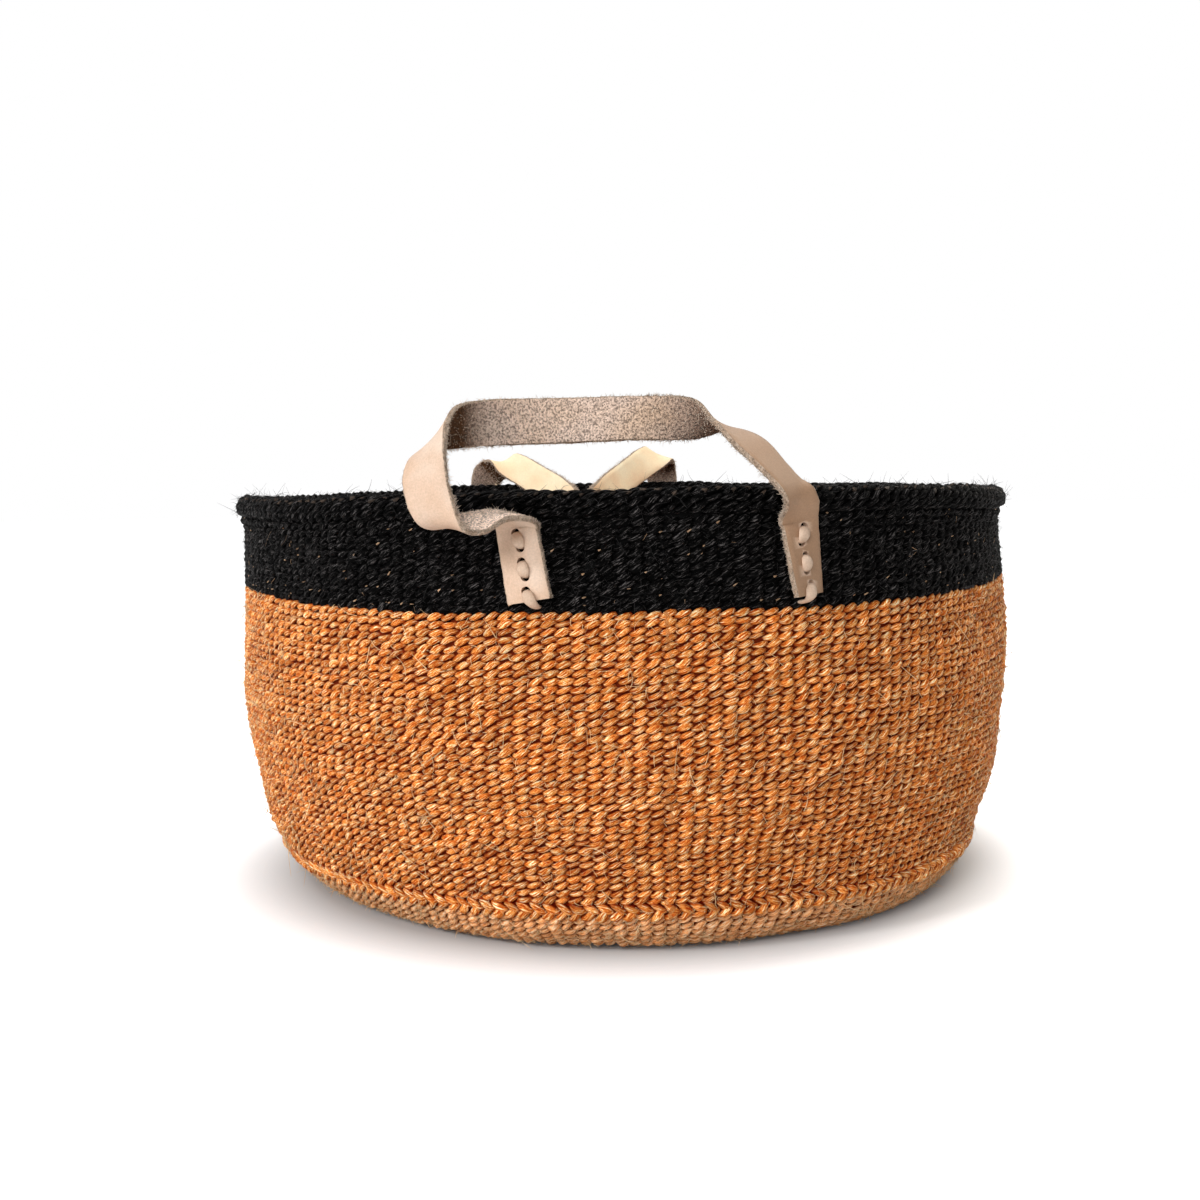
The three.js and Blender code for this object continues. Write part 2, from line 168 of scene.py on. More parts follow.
def handmade(angle, height):
    """How far the weave strays from a true round, outward and up. Behind the tabs it stays true."""
    clear = np.ones_like(angle)
    for turn in (0.0, 180.0 + REAR_TURN):
        for side in (-1, 1):
            at = turn + side * TAB_ANGLE
            clear = clear * (1 - bump_at(angle, height, at, TAB_CLEAR, wall_top, WHOLE_WALL))
    out = waves(OUT_WAVES, angle, height) * np.clip(height / WAVES_FULL, 0, 1)
    out = out + swells(OUT_SWELLS, angle, height) + COLLAR * np.exp(-((height - wall_top) / COLLAR_HALF) ** 2)
    tuck = TUCK * np.sin(angle) ** 2 * np.exp(-((height - TUCK_HEIGHT) / TUCK_HALF) ** 2)
    upper = (np.maximum(height, 0) / HEIGHT) ** HIGHER_POWER
    lift = (waves(UP_WAVES, angle, height) + swells(LEFT_DIP, angle, height)) * upper
    lift = lift + swells(UP_SWELLS, angle, height)
    return clear * out - tuck, clear * lift


def turned(angle, radius, height):
    """Points at an angle from the front, towards the right as seen from there."""
    return np.stack([radius * np.sin(angle), -radius * np.cos(angle), height + 0 * angle], -1)


def laid(angle, radius, height):
    """Points of the weave as it was made by hand, with its base off the middle of its wall."""
    out, up = handmade(angle, height)
    off = np.exp(-(height / BASE_FADE) ** 2)[..., None]
    return turned(angle, radius + out, height + up) + off * np.array([BASE_ASIDE, -BASE_FORWARD, 0])


def middles(low, high, count):
    """The middles of equal steps from low to high."""
    return low + (np.arange(count) + 0.5) * (high - low) / count


def rows_under(radius, height, out_r, out_z, deep):
    """Middles of rows at a depth under a face, with the outward direction."""
    return np.stack([radius - deep * out_r, height - deep * out_z, out_r, out_z], -1)


def wall_rows(low, high, count, proud=0.0):
    """Rows in the wall between two heights."""
    height = middles(low, high, count)
    radius, out_r, out_z = wall_at(height)
    return rows_under(radius, height, out_r, out_z, WALL / 2 - proud)


def edge_rows(count):
    """Rows that turn up from the base to the heel."""
    angle = middles(0, math.acos(1 - heel_foot / EDGE_RADIUS), count)
    return rows_under(flat_radius, EDGE_RADIUS, np.sin(angle), -np.cos(angle), WALL / 2 - EDGE_RADIUS)


def base_rows(low, high, count):
    """Rings in the flat base between two radii."""
    zero = np.zeros(count)
    return rows_under(middles(low, high, count), zero, zero, zero - 1, WALL / 2)


def rim_rows(count, deep):
    """Rows that wrap the rim's core."""
    angle = np.linspace(RIM_FROM, RIM_TO, count) * deg
    return rows_under(roll_centre, roll_height, np.cos(angle), np.sin(angle), deep - roll_radius)


# Meshes

# Margins in the layout for baking, where a strand's fibres start in their pattern and how far they run in it
# for each millimetre
STRIP_MARGIN, SHEET_MARGIN = 0.04, 0.004
FIBRE_STARTS, FIBRE_RUN = 90, 0.055

# Loose fibres: the stretch of the rim's turn that they stand on, how deep they start, how far they taper, how
# far they bend at random and back to the wall, their least reach, and how few of them are long
HAIRY_FROM, HAIRY_TO, ROOT_DEEP, TAPER = -40, 190, 0.3, 0.75
FIBRE_BEND, BEND_BACK, LEAST_REACH, FEW_LONG = 0.35, 0.25, 0.25, 2.2


def unit(v):
    return v / np.maximum(np.linalg.norm(v, axis=-1, keepdims=True), 1e-9)


def between(low, high, size):
    """Random values from low to high."""
    return low + (high - low) * rng.random(size)


def new_object(name, data):
    obj = bpy.data.objects.new(name, data)
    bpy.context.collection.objects.link(obj)
    return obj


def mesh_of(name, points, faces, layout=None, points_data=()):
    """A smooth mesh of quads in millimetres, with its layout for baking and values at its points."""
    mesh = bpy.data.meshes.new(name)
    faces = np.asarray(faces, np.int32)
    count, corners = faces.shape
    mesh.vertices.add(len(points))
    mesh.vertices.foreach_set("co", (points * MM).astype(np.float32).ravel())
    mesh.loops.add(count * corners)
    mesh.loops.foreach_set("vertex_index", faces.ravel())
    mesh.polygons.add(count)
    mesh.polygons.foreach_set("loop_start", np.arange(0, count * corners, corners, dtype=np.int32))
    mesh.polygons.foreach_set("use_smooth", np.ones(count, bool))
    mesh.update(calc_edges=True)
    if layout is not None:
        sheet = mesh.uv_layers.new(name="OFBake")
        sheet.data.foreach_set("uv", layout.astype(np.float32).ravel())
    for key, values in points_data:
        kind, field = ("FLOAT_VECTOR", "vector") if values.shape[-1:] == (3,) else ("FLOAT", "value")
        mesh.attributes.new(key, kind, "POINT").data.foreach_set(field, values.astype(np.float32).ravel())
    return mesh


def strip_layout(count, spans, sides):
    """A layout for baking, with each strand cut into level strips."""
    cuts = max(1, round(math.sqrt(spans / (count * sides))))
    while spans % cuts:
        cuts -= 1
    run = spans // cuts
    strand, span, side = np.meshgrid(np.arange(count), np.arange(spans), np.arange(sides), indexing="ij")
    strip = strand * cuts + span // run
    left = (span % run) / run
    right = left + 1 / run
    u = np.stack([left, left, right, right], -1)
    around = (side[..., None] + np.array([0, 1, 1, 0])) / sides
    v = (strip[..., None] + STRIP_MARGIN + (1 - 2 * STRIP_MARGIN) * around) / (count * cuts)
    return np.stack([SHEET_MARGIN + (1 - 2 * SHEET_MARGIN) * u, v], -1).reshape(-1, 2)


def strands(name, middle, out, half_out, half_side, tone, closed, sides=6, ply=0.0, level=None, reach=1.0):
    """Round strands along rows of middles. A level, which is the middle's place in the weave's thickness,
    tells how far each point is out of the gaps between stitches, where the yarn takes a painted shade."""
    count, steps = middle.shape[:2]
    if closed:
        along = np.roll(middle, -1, 1) - np.roll(middle, 1, 1)
    else:
        along = np.gradient(middle, axis=1)
    along = unit(along)
    up = unit(out - (out * along).sum(-1, keepdims=True) * along)
    side = np.cross(along, up)
    turn = np.arange(sides) * 2 * math.pi / sides
    points = (middle[:, :, None]
              + up[:, :, None] * (np.cos(turn)[:, None] * half_out[:, :, None, None])
              + side[:, :, None] * (np.sin(turn)[:, None] * half_side[:, :, None, None]))
    length = np.linalg.norm(np.diff(middle, axis=1, append=middle[:, :1]), axis=-1).cumsum(1)[:, :, None]
    twist = turn + ply * length
    start = rng.random((count, 1, 1)) * FIBRE_STARTS
    fibre = np.stack([np.cos(twist), np.sin(twist), (length * FIBRE_RUN + start) + 0 * twist], -1)
    shade = np.repeat(tone[:, :, None], sides, 2)
    # Low clear values mark the gaps between stitches, where the yarn's colour turns to a painted shade
    clear = np.ones_like(shade)
    if level is not None:
        clear = np.abs(level[:, :, None] + half_out[:, :, None] * np.cos(turn)) / reach
    index = np.arange(count * steps * sides).reshape(count, steps, sides)
    here = index if closed else index[:, :-1]
    there = np.roll(index, -1, 1) if closed else index[:, 1:]
    faces = np.stack([here, np.roll(here, -1, 2), np.roll(there, -1, 2), there], -1)
    data = [("fibre", fibre.reshape(-1, 3)), ("tone", shade.ravel()), ("clear", clear.ravel())]
    layout = strip_layout(count, faces.shape[1], sides)
    return mesh_of(name, points.reshape(-1, 3), faces.reshape(-1, 4), layout, data)


def twine(name, rows, columns, thick, swing, lift, slant=1, steps=5, sides=6, wide=1.15):
    """Rows of two strands that twist about each other, half a turn for each warp."""
    count, span = len(rows), columns * steps
    place = np.arange(span)
    phase = math.pi * place / steps + np.array([0, math.pi])[:, None] + np.zeros((count, 1, 1))
    drift = rng.normal(0, COLUMN_DRIFT, (count, 1, 1))
    drift = drift + COLUMN_SWAY * np.sin(SWAY_EACH_ROW * np.arange(count))[:, None, None]
    wander = ROW_WANDER * np.sin(2 * math.pi * (WANDERS * place / span + rng.random((count, 1, 1))))
    angle = (place + (drift + wander) * steps) * 2 * math.pi / span + 0 * phase
    stitch = np.round(phase / math.pi).astype(int) % columns
    pick = (np.arange(count)[:, None, None], np.arange(2)[:, None], stitch)
    tone = rng.random((count, 2, columns))[pick]
    fat, shift, tilt = (rng.normal(0, amount, (count, 2, columns))[pick]
                        for amount in (STITCH_FAT, STITCH_SHIFT, STITCH_TILT))
    crown = np.abs(np.cos(phase))
    level = np.sign(np.cos(phase)) * crown ** SWING_POWER * swing * (1 + FAT_SWING * fat)
    r, z, out_r, out_z = rows.T[:, :, None, None]
    climb = slant * lift * np.sin(phase) * (1 + tilt) + shift * crown + waves(ROW_WAVES, angle, z)
    middle = laid(angle, r + level * out_r - climb * out_z, z + level * out_z + climb * out_r)
    out = turned(angle, out_r + 0 * angle, out_z + 0 * angle)
    full = 1 + fat * crown
    half_out = thick * (THIN_OUT + (1 - THIN_OUT) * crown) * full
    half_side = wide * thick * (THIN_SIDE + (1 - THIN_SIDE) * crown ** WIDTH_POWER) * full
    flat = (count * 2, span)
    return strands(name, middle.reshape(*flat, 3), out.reshape(*flat, 3), half_out.reshape(flat),
                   half_side.reshape(flat), tone.reshape(flat), True, sides, PLY,
                   level.reshape(flat), swing + thick)


def shell(name, rows, half):
    """The warps inside the weave as one thin sheet."""
    r, z, out_r, out_z = rows.T
    outer = np.stack([r + half * out_r, z + half * out_z], -1)
    inner = np.stack([r - half * out_r, z - half * out_z], -1)
    profile = np.concatenate([outer, inner[::-1]])
    segments = WARPS // 2
    angle = np.arange(segments) * 2 * math.pi / segments
    grid = np.broadcast_to(angle[:, None], (segments, len(profile)))
    points = laid(grid, profile[None, :, 0] + 0 * grid, profile[None, :, 1] + 0 * grid)
    index = np.arange(points[..., 0].size).reshape(segments, -1)
    there = np.roll(index, -1, 0)
    faces = np.stack([index, there, np.roll(there, -1, 1), np.roll(index, -1, 1)], -1)
    return mesh_of(name, points.reshape(-1, 3), faces.reshape(-1, 4))


def loose_fibres(name, roots, ways, bends, lengths, thick, steps=5):
    """Thin bent hairs that taper to their tips and stay above the floor."""
    t = np.linspace(0, 1, steps + 1)[None, :, None]
    far = lengths[:, None, None]
    middle = roots[:, None] + ways[:, None] * far * t + bends[:, None] * far * t ** 2
    middle[:, :, 2] = np.maximum(middle[:, :, 2], thick[:, None])
    out = np.broadcast_to(rng.normal(size=(len(roots), 1, 3)), middle.shape)
    size = thick[:, None] * (1 - TAPER * t[:, :, 0] ** 2)
    tone = np.repeat(rng.random((len(roots), 1)), steps + 1, 1)
    return strands(name, middle, out, size, size, tone, False, 3)


def sprung(name, count, low, high, reach, thick, lean):
    """Fibres that have sprung out of the wall's outer face, or above the wall out of the rim."""
    angle = between(0, 2 * math.pi, count)
    height = between(low, high, count)
    radius, out_r, out_z = wall_at(np.minimum(height, wall_top))
    over = height > wall_top
    roll = between(HAIRY_FROM, HAIRY_TO, count) * deg
    radius = np.where(over, roll_centre + roll_radius * np.cos(roll), radius)
    out_r, out_z = np.where(over, np.cos(roll), out_r), np.where(over, np.sin(roll), out_z)
    height = np.where(over, roll_height + roll_radius * np.sin(roll), height)
    roots = laid(angle, radius - ROOT_DEEP * out_r, height - ROOT_DEEP * out_z)
    out = turned(angle, out_r, out_z)
    right = turned(angle + math.pi / 2, np.ones(count), np.zeros(count))
    up = np.cross(out, right) * -1
    around = between(0, 2 * math.pi, count)
    flat = right * np.cos(around)[:, None] + up * np.sin(around)[:, None]
    ways = unit(flat + out * lean * between(0.15, 1.15, (count, 1)))
    bends = rng.normal(0, FIBRE_BEND, (count, 3)) - out * between(0, BEND_BACK, (count, 1))
    lengths = reach * (LEAST_REACH + rng.random(count) ** FEW_LONG)
    return loose_fibres(name, roots, ways, bends, lengths, thick * between(0.6, 1.2, count))


# Straps and laces

# Each place has its share of the straight line between the tabs at the rim's face, its distances from there
# to the right, outward and up, in bows, and the way across the strap in the same directions
FRONT_ROUTE = [
    (0, -0.3, 0.45, -1.35, 0.66, 0.74, -0.1), (0, -1.3, 1.1, -1.25, 0.4, 0.9, -0.15),
    (0, -2.4, 1.7, -1.6, 0.28, 0.88, -0.36), (0, -3.4, 2.2, -1.7, 0.62, 0.78, -0.1),
    (0, -4.3, 2.5, -0.9, 0.87, 0.45, 0.2), (0, -4.7, 2.3, 0.6, 0.92, 0.39, 0.05),
    (0, -4.6, 1.7, 1.8, 0.76, 0.6, 0.25), (0, -4.1, 0.7, 2.7, 0.45, 0.69, 0.57),
    (0, -3.1, -0.3, 3.2, 0.15, 0.36, 0.92), (0, -1.4, -1.1, 3.4, 0, 0.05, 1),
    (0.2, -0.1, -2.4, 3.5, 0, -0.15, 0.98), (0.46, 0, -2.5, 3.6, 0, -0.1, 0.99),
    (0.6, 0.2, -2.1, 3.5, -0.12, 0.4, 0.9), (0.7, 0.2, -1.4, 3.1, -0.35, 0.93, 0.1),
    (0.8, 0, -0.5, 2.2, -0.52, 0.8, -0.3), (0.9, -0.35, 0.4, 0.9, -0.52, 0.8, -0.28),
    (1, -0.85, 0.65, -0.3, -0.66, 0.74, -0.12), (1, -0.5, 0.3, -1.05, -0.85, 0.5, -0.05),
]
REAR_ROUTE = [
    (0, 0.1, 0.2, 1.8, 0.95, 0.26, 0.2), (0, 0.4, -0.7, 2.3, 0.91, 0.11, 0.38),
    (0, 1.4, -1.8, 2.0, 0.75, 0.05, 0.66), (0.2, -0.1, -3.1, 1.2, 0.54, -0.02, 0.84),
    (0.34, 0, -5.4, -0.1, 0.51, -0.07, 0.86), (0.44, 0, -7.3, -1, 0.37, -0.38, 0.85),
    (0.54, 0, -8.6, -1.5, 0, -0.6, 0.8), (0.6, 0, -7.1, -0.95, -0.36, -0.38, 0.85),
    (0.66, 0, -5.1, -0.2, -0.52, -0.13, 0.85), (0.745, 0, -3.2, 0.65, -0.55, -0.06, 0.83),
    (0.83, 0, -1.5, 1.5, -0.68, -0.02, 0.73), (1, -1.4, -0.3, 1.95, -0.97, 0.02, 0.2),
    (1, -0.65, 0.4, 1.3, -0.95, 0.08, -0.25),
]

# Stations along a tab and between two places of a route, the step that a route's direction is taken over, and
# how far a tab's middle comes off the wall as its edge turns, as a share of half its width
TAB_STATIONS, ROUTE_STATIONS, NEAR, CURL_LIFT = 24, 14, 1e-3, 0.5

# A strap's section: points across its smooth face and down one cut edge, each across and out from its middle
STRAP_FACE = [(across, STRAP_THICK / 2) for across in (-11.35, -7.6, -2.6, 2.6, 7.6, 11.35)]
STRAP_EDGE = [(11.85, 1.1), (12.0, 0.3), (11.9, -0.9)]

# The order of a strap's materials
SMOOTH, RAW, CUT = 0, 1, 2

# How uneven a strap is: its edges wander from station to station, up to a limit, and its cut edges and raw
# face are rough. Cut edges lie farther out than CUT_FROM and lower than CUT_BELOW.
EDGE_WANDER, WANDER_LIMIT, CUT_ROUGH, RAW_ROUGH = 0.06, 0.35, 0.13, 0.12
CUT_FROM, CUT_BELOW = 11.0, 1.2

# Painted shade on the raw face in a strap's bends: in full at this radius of bend, spread over this many
# stations and made stronger.
# Painted shade at the right end: in full from this share of its length, and growing over the stretch before
# that.
BEND_SHADE_RADIUS, BEND_SHADE_STATIONS, BEND_SHADE_GAIN = 22.0, 53, 2.2
END_SHADE_FULL, END_SHADE_OVER = 0.8, 1 / 6

# Sides of a punched hole, and the angle in degrees from which edges look sharp
HOLE_SIDES, SHARP_FROM = 20, 50

# Places along a stitch: the share of its length, its height over the strap and its width
STITCH_IN = ((0, -1.2, 0.85), (0.05, 0.5, 1.05), (0.22, 1.0, 1.4), (0.5, 1.2, 1.55))
STITCH_OUT = ((0.78, 1.0, 1.36), (0.95, 0.5, 1.02), (1, -1.2, 0.85))
STITCH_UNDER = ((0.72, 0.95, 1.4), (0.9, 0.1, 1.2), (1, -1.2, 1.0))

# A lace's stations between two places, its sides, from what level and over how much it follows the curl of
# its tab, and how its thickness grows with its width
LACE_STATIONS, LACE_SIDES, FOLLOW_FROM, FOLLOW_OVER = 4, 12, -2.5, 3.0
LACE_THIN, LACE_SWELL = 0.55, 0.5

# Inside the basket: a lace's width there and at its knots, how far from a hole it lies flat, a knot's form
INSIDE_WIDE, KNOT_WIDE, INSIDE_RUN, KNOT_FULL, KNOT_LUMPS = 0.9, 0.8, 1.5, 0.94, 0.12

# A tab's lower end, its ways up the strap, across it towards the handle's middle and out, its length and curl
Tab = namedtuple("Tab", "end up across out length curl")


def through(places, t, even):
    """A smooth curve through places, even or not in their spacing, at t counted in places."""
    p = np.asarray(places, float)
    p = np.concatenate([[2 * p[0] - p[1]], p, [2 * p[-1] - p[-2]]])
    i = np.clip(np.floor(t).astype(int), 0, len(p) - 4)
    u = (t - i)[:, None]
    p0, p1, p2, p3 = p[i], p[i + 1], p[i + 2], p[i + 3]
    if even:
        m1, m2 = (p2 - p0) / 2, (p3 - p1) / 2
    else:
        d0, d1, d2 = (np.sqrt(np.linalg.norm(b - a, axis=1, keepdims=True))
                      for a, b in ((p0, p1), (p1, p2), (p2, p3)))
        m1 = ((p1 - p0) / d0 - (p2 - p0) / (d0 + d1) + (p2 - p1) / d1) * d1
        m2 = ((p2 - p1) / d1 - (p3 - p1) / (d1 + d2) + (p3 - p2) / d2) * d1
    return p1 + m1 * u + (3 * (p2 - p1) - 2 * m1 - m2) * u ** 2 + (2 * (p1 - p2) + m1 + m2) * u ** 3


def turned_about(points, turn):
    """Points or ways turned about the basket's middle, in degrees."""
    c, s = math.cos(turn * deg), math.sin(turn * deg)
    return points @ np.array([[c, s, 0], [-s, c, 0], [0, 0, 1]])


def tab_of(side, label):
    """The tab on one side of a handle, as it would lie at the front."""
    angle, lean = side * TAB_ANGLE * deg, LEAN[label] * deg
    height = (tab_top + tab_foot) / 2
    radius, out_r, out_z = (float(v[0]) for v in wall_at(height))
    out = np.array([math.sin(angle) * out_r, -math.cos(angle) * out_r, out_z])
    right = np.array([math.cos(angle), math.sin(angle), 0])
    up = np.cross(out, right)
    up = up * math.cos(lean) + np.cross(out, up) * math.sin(lean)
    across = np.cross(up, out) * -side
    length = (tab_top - tab_foot) / up[2]
    wall = np.array([math.sin(angle) * radius, -math.cos(angle) * radius, height])
    centre = wall + out * (SEAT + STRAP_THICK / 2)
    return Tab(centre + across * ASIDE[label] - up * length / 2, up, across, out, length, CURL[label])


def on_tab(tab, along):
    """Middles of a tab at distances up from its lower end, with its ways across and out."""
    along = np.atleast_1d(np.asarray(along, float))[:, None]
    foot, top = tab.curl
    turn = (foot + (top - foot) * np.clip(along / tab.length, 0, 1)) * deg
    middle = tab.end + tab.up * along + tab.out * (CURL_LIFT * strap_half * np.sin(turn))
    across = tab.across * np.cos(turn) + tab.out * np.sin(turn)
    out = tab.out * np.cos(turn) - tab.across * np.sin(turn)
    return middle, across, out


def hole_places(tab):
    """Distances of a tab's lace holes from its lower end, from the top one down."""
    pitch = (tab.length - HOLE_END - hole_radius - HOLE_TOP) / (HOLES - 1)
    return [HOLE_END + i * pitch for i in range(HOLES - 1, -1, -1)]


def strap_line(tabs, riser, route, droop):
    """Middles of a strap from its left end to its right one, with its ways across and out."""
    face, turn = RIM_RADIUS + SEAT + STRAP_THICK / 2, TAB_ANGLE * deg
    rims = [np.array([side * face * math.sin(turn), -face * math.cos(turn), HEIGHT]) for side in (-1, 1)]
    places, ways, ends = [], [], []
    for tab, rim in zip(tabs, rims):
        middle, across, _ = on_tab(tab, (tab.length - STRAP_THICK, tab.length))
        level = unit(np.array([tab.out[0], tab.out[1], 0]))
        risen = [rim + level * outward + np.array([0, 0, rise]) for outward, rise in riser]
        places.append(list(middle) + risen)
        ways.append(list(across) + [across[-1]] * len(riser))
        ends.append(on_tab(tab, np.linspace(0, tab.length, TAB_STATIONS + 1)[:-1]))
    low = np.array([0, 0, droop])
    free = [rims[0] * (1 - share) + rims[1] * share + BOW * np.array([right, -outward, up]) - low
            for share, right, outward, up, *_ in route]
    free_ways = [unit(np.array([right, -outward, up])) for *_, right, outward, up in route]
    spots = places[0] + free + places[1][::-1]
    turns = ways[0] + free_ways + ways[1][::-1]
    t = np.linspace(1, len(spots) - 2, (len(spots) - 3) * ROUTE_STATIONS + 1)
    middle = through(spots, t, False)
    along = unit(through(spots, t + NEAR, False) - through(spots, t - NEAR, False))
    across = through(turns, t, True)
    across = unit(across - (across * along).sum(1, keepdims=True) * along)
    out = np.cross(across, along)
    return [np.concatenate([a, b, c[::-1]]) for a, b, c in zip(ends[0], (middle, across, out), ends[1])]


def painted_bend_and_end_shade(middle, out):
    """Painted shade on a strap: in its bends, where its raw side looks level or down, and towards its right
    end.
    """
    run = np.gradient(middle, axis=0)
    step = np.linalg.norm(run, axis=1, keepdims=True)
    bend = -(np.gradient(unit(run), axis=0) / step * out).sum(1)
    # Painted shade in bends, but none where the raw side looks up
    bend_shade = np.clip(bend * BEND_SHADE_RADIUS, 0, 1) * np.clip(1 + 2 * out[:, 2], 0, 1)
    blur = np.hanning(BEND_SHADE_STATIONS)
    bend_shade = np.clip(BEND_SHADE_GAIN * np.convolve(bend_shade, blur / blur.sum(), "same"), 0, 1)
    # Painted shade towards the strap's right end
    end_shade = np.clip(1 + (step.cumsum() / step.sum() - END_SHADE_FULL) / END_SHADE_OVER, 0, 1)
    return bend_shade, end_shade


def strap_mesh(name, middle, across, out):
    """A leather strap with its smooth face out, its raw face in and slightly uneven cut edges."""
    raw_face = [(a, -b) for a, b in STRAP_FACE[::-1]]
    far_edge = [(-a, b) for a, b in STRAP_EDGE[::-1]]
    section = np.array(STRAP_FACE + STRAP_EDGE + raw_face + far_edge)
    aside, proud = section.T
    stations, around = len(middle), len(section)
    wave = np.cumsum(rng.normal(0, EDGE_WANDER, (stations, 2)), 0)
    wave -= np.linspace(0, 1, stations)[:, None] * wave[-1]
    wave = np.clip(wave, -WANDER_LIMIT, WANDER_LIMIT)
    is_cut = (np.abs(aside) > CUT_FROM) & (proud < CUT_BELOW)
    ragged = rng.normal(0, CUT_ROUGH, (stations, around)) * is_cut
    a = aside + (np.where(aside > 0, wave[:, :1], wave[:, 1:]) * np.abs(aside) / strap_half + ragged)
    b = proud + rng.normal(0, RAW_ROUGH, (stations, around)) * (proud < 0)
    points = middle[:, None] + across[:, None] * a[..., None] + out[:, None] * b[..., None]
    index = np.arange(stations * around).reshape(stations, around)
    faces = np.stack([index[:-1], np.roll(index[:-1], -1, 1), np.roll(index[1:], -1, 1), index[1:]], -1)
    bend_shade, end_shade = painted_bend_and_end_shade(middle, out)
    mesh = mesh_of(name, points.reshape(-1, 3), faces.reshape(-1, 4),
                   points_data=[("bend_shade", np.repeat(bend_shade, around)), ("end_shade", np.repeat(end_shade, around))])
    on_face, on_edge = len(STRAP_FACE) - 1, len(STRAP_EDGE) + 1
    kind = np.repeat([SMOOTH, CUT, RAW, CUT], [on_face, on_edge, on_face, on_edge])
    mesh.polygons.foreach_set("material_index", np.tile(kind, stations - 1).astype(np.int32))
    work = bmesh.new()
    work.from_mesh(mesh)
    work.verts.ensure_lookup_table()
    for ring in (index[0], index[-1][::-1]):
        work.faces.new([work.verts[int(i)] for i in ring]).material_index = CUT
    bmesh.ops.recalc_face_normals(work, faces=work.faces)
    work.to_mesh(mesh)
    work.free()
    return mesh


def punch(strap, tabs, sways, turn):
    """The lace holes through both tabs of a strap."""
    work = bmesh.new()
    for tab, sway in zip(tabs, sways):
        middle, across, out = on_tab(tab, hole_places(tab))
        spots = turned_about(middle + across * np.array(sway[:HOLES])[:, None], turn) * MM
        for spot, axis in zip(spots, turned_about(out, turn)):
            aim = Vector(axis).to_track_quat("Z", "Y").to_matrix().to_4x4()
            bmesh.ops.create_cone(work, cap_ends=True, segments=HOLE_SIDES, radius1=hole_radius * MM,
                                  radius2=hole_radius * MM, depth=3 * STRAP_THICK * MM,
                                  matrix=Matrix.Translation(Vector(spot)) @ aim)
    mesh = bpy.data.meshes.new("punches")
    work.to_mesh(mesh)
    work.free()
    tool = new_object("punches", mesh)
    cut = strap.modifiers.new("holes", "BOOLEAN")
    cut.object, cut.solver = tool, "EXACT"
    bpy.context.view_layer.update()
    done = bpy.data.meshes.new_from_object(strap.evaluated_get(bpy.context.evaluated_depsgraph_get()))
    strap.modifiers.clear()
    strap.data = done
    bpy.data.objects.remove(tool)
    done.set_sharp_from_angle(angle=SHARP_FROM * deg)


def lace_path(tab, sway):
    """Places along a lace: how far up its tab, how high over the strap's middle, how far aside, how wide."""
    outside = STRAP_THICK / 2 + SEAT + LACE_THICK / 2
    inner_face = -STRAP_THICK / 2 - SEAT - WALL - INNER_SEAT
    inside, knot = inner_face - LACE_THICK / 2, inner_face - KNOT / 2
    holes = hole_places(tab) + [-LACE_FOOT]
    path = [(holes[0], knot, sway[0], KNOT_WIDE)]
    for i in range(0, len(holes), 2):
        top, low, aside, over = holes[i], holes[i + 1], sway[i], sway[i + 1] - sway[i]
        last = i + 2 == len(holes)
        for share, level, wide in STITCH_IN + (STITCH_UNDER if last else STITCH_OUT):
            path.append((top + (low - top) * share, outside * level, aside + over * share, wide))
        if not last:
            following = holes[i + 2]
            path += [(low, inside + 1, sway[i + 1], INSIDE_WIDE),
                     (low - INSIDE_RUN, inside, sway[i + 1], INSIDE_WIDE),
                     (following + INSIDE_RUN, inside, sway[i + 2], INSIDE_WIDE),
                     (following, inside + 1, sway[i + 2], INSIDE_WIDE)]
    path.append((holes[-1], knot, sway[-1], KNOT_WIDE))
    return path


def lace_mesh(name, tab, sway, turn):
    """A flat thong through a tab's holes: three padded stitches outside, and a knot at each end inside."""
    path = lace_path(tab, sway)
    t = np.linspace(0, len(path) - 1, (len(path) - 1) * LACE_STATIONS + 1)
    line = through(path, t, True)
    up_at, over, aside, wide = line[:, :1], line[:, 1:2], line[:, 2:3], line[:, 3]
    flat, across, _ = on_tab(tab, line[:, 0])
    shown = np.clip((over - FOLLOW_FROM) / FOLLOW_OVER, 0, 1)
    straight = tab.end + tab.up * up_at
    middle = straight + shown * (flat - straight) + tab.out * over
    middle += (shown * across + (1 - shown) * tab.across) * aside
    along = unit(np.gradient(line[:, :2], axis=0))
    face = tab.up * -along[:, 1:] + tab.out * along[:, :1]
    half_side = LACE_WIDTH / 2 * wide
    half_out = LACE_THICK / 2 * (LACE_THIN + LACE_SWELL * wide)
    middle, face = turned_about(middle, turn), turned_about(face, turn)
    tone = np.full((1, len(t)), rng.random())
    lace = strands(name, middle[None], face[None], half_out[None], half_side[None], tone, False, LACE_SIDES)
    work = bmesh.new()
    work.from_mesh(lace)
    for spot in (middle[0], middle[-1]):
        tie_knot(work, Vector(spot * MM))
    for quad in work.faces:
        quad.smooth = True
    work.to_mesh(lace)
    work.free()
    return lace


def tie_knot(work, spot):
    """A lumpy ball for a knot at a spot."""
    radius = KNOT / 2 * MM
    knot = bmesh.ops.create_icosphere(work, subdivisions=3, radius=radius, matrix=Matrix.Translation(spot))
    for vert in knot["verts"]:
        d = (vert.co - spot).normalized()
        lump = 1 + KNOT_LUMPS * math.sin(5 * math.atan2(d.z, d.x) + 4 * d.y)
        vert.co = spot + d * (radius * lump * KNOT_FULL)


# Materials

VALUE, NORMAL = "NodeSocketFloat", "NodeSocketVector"

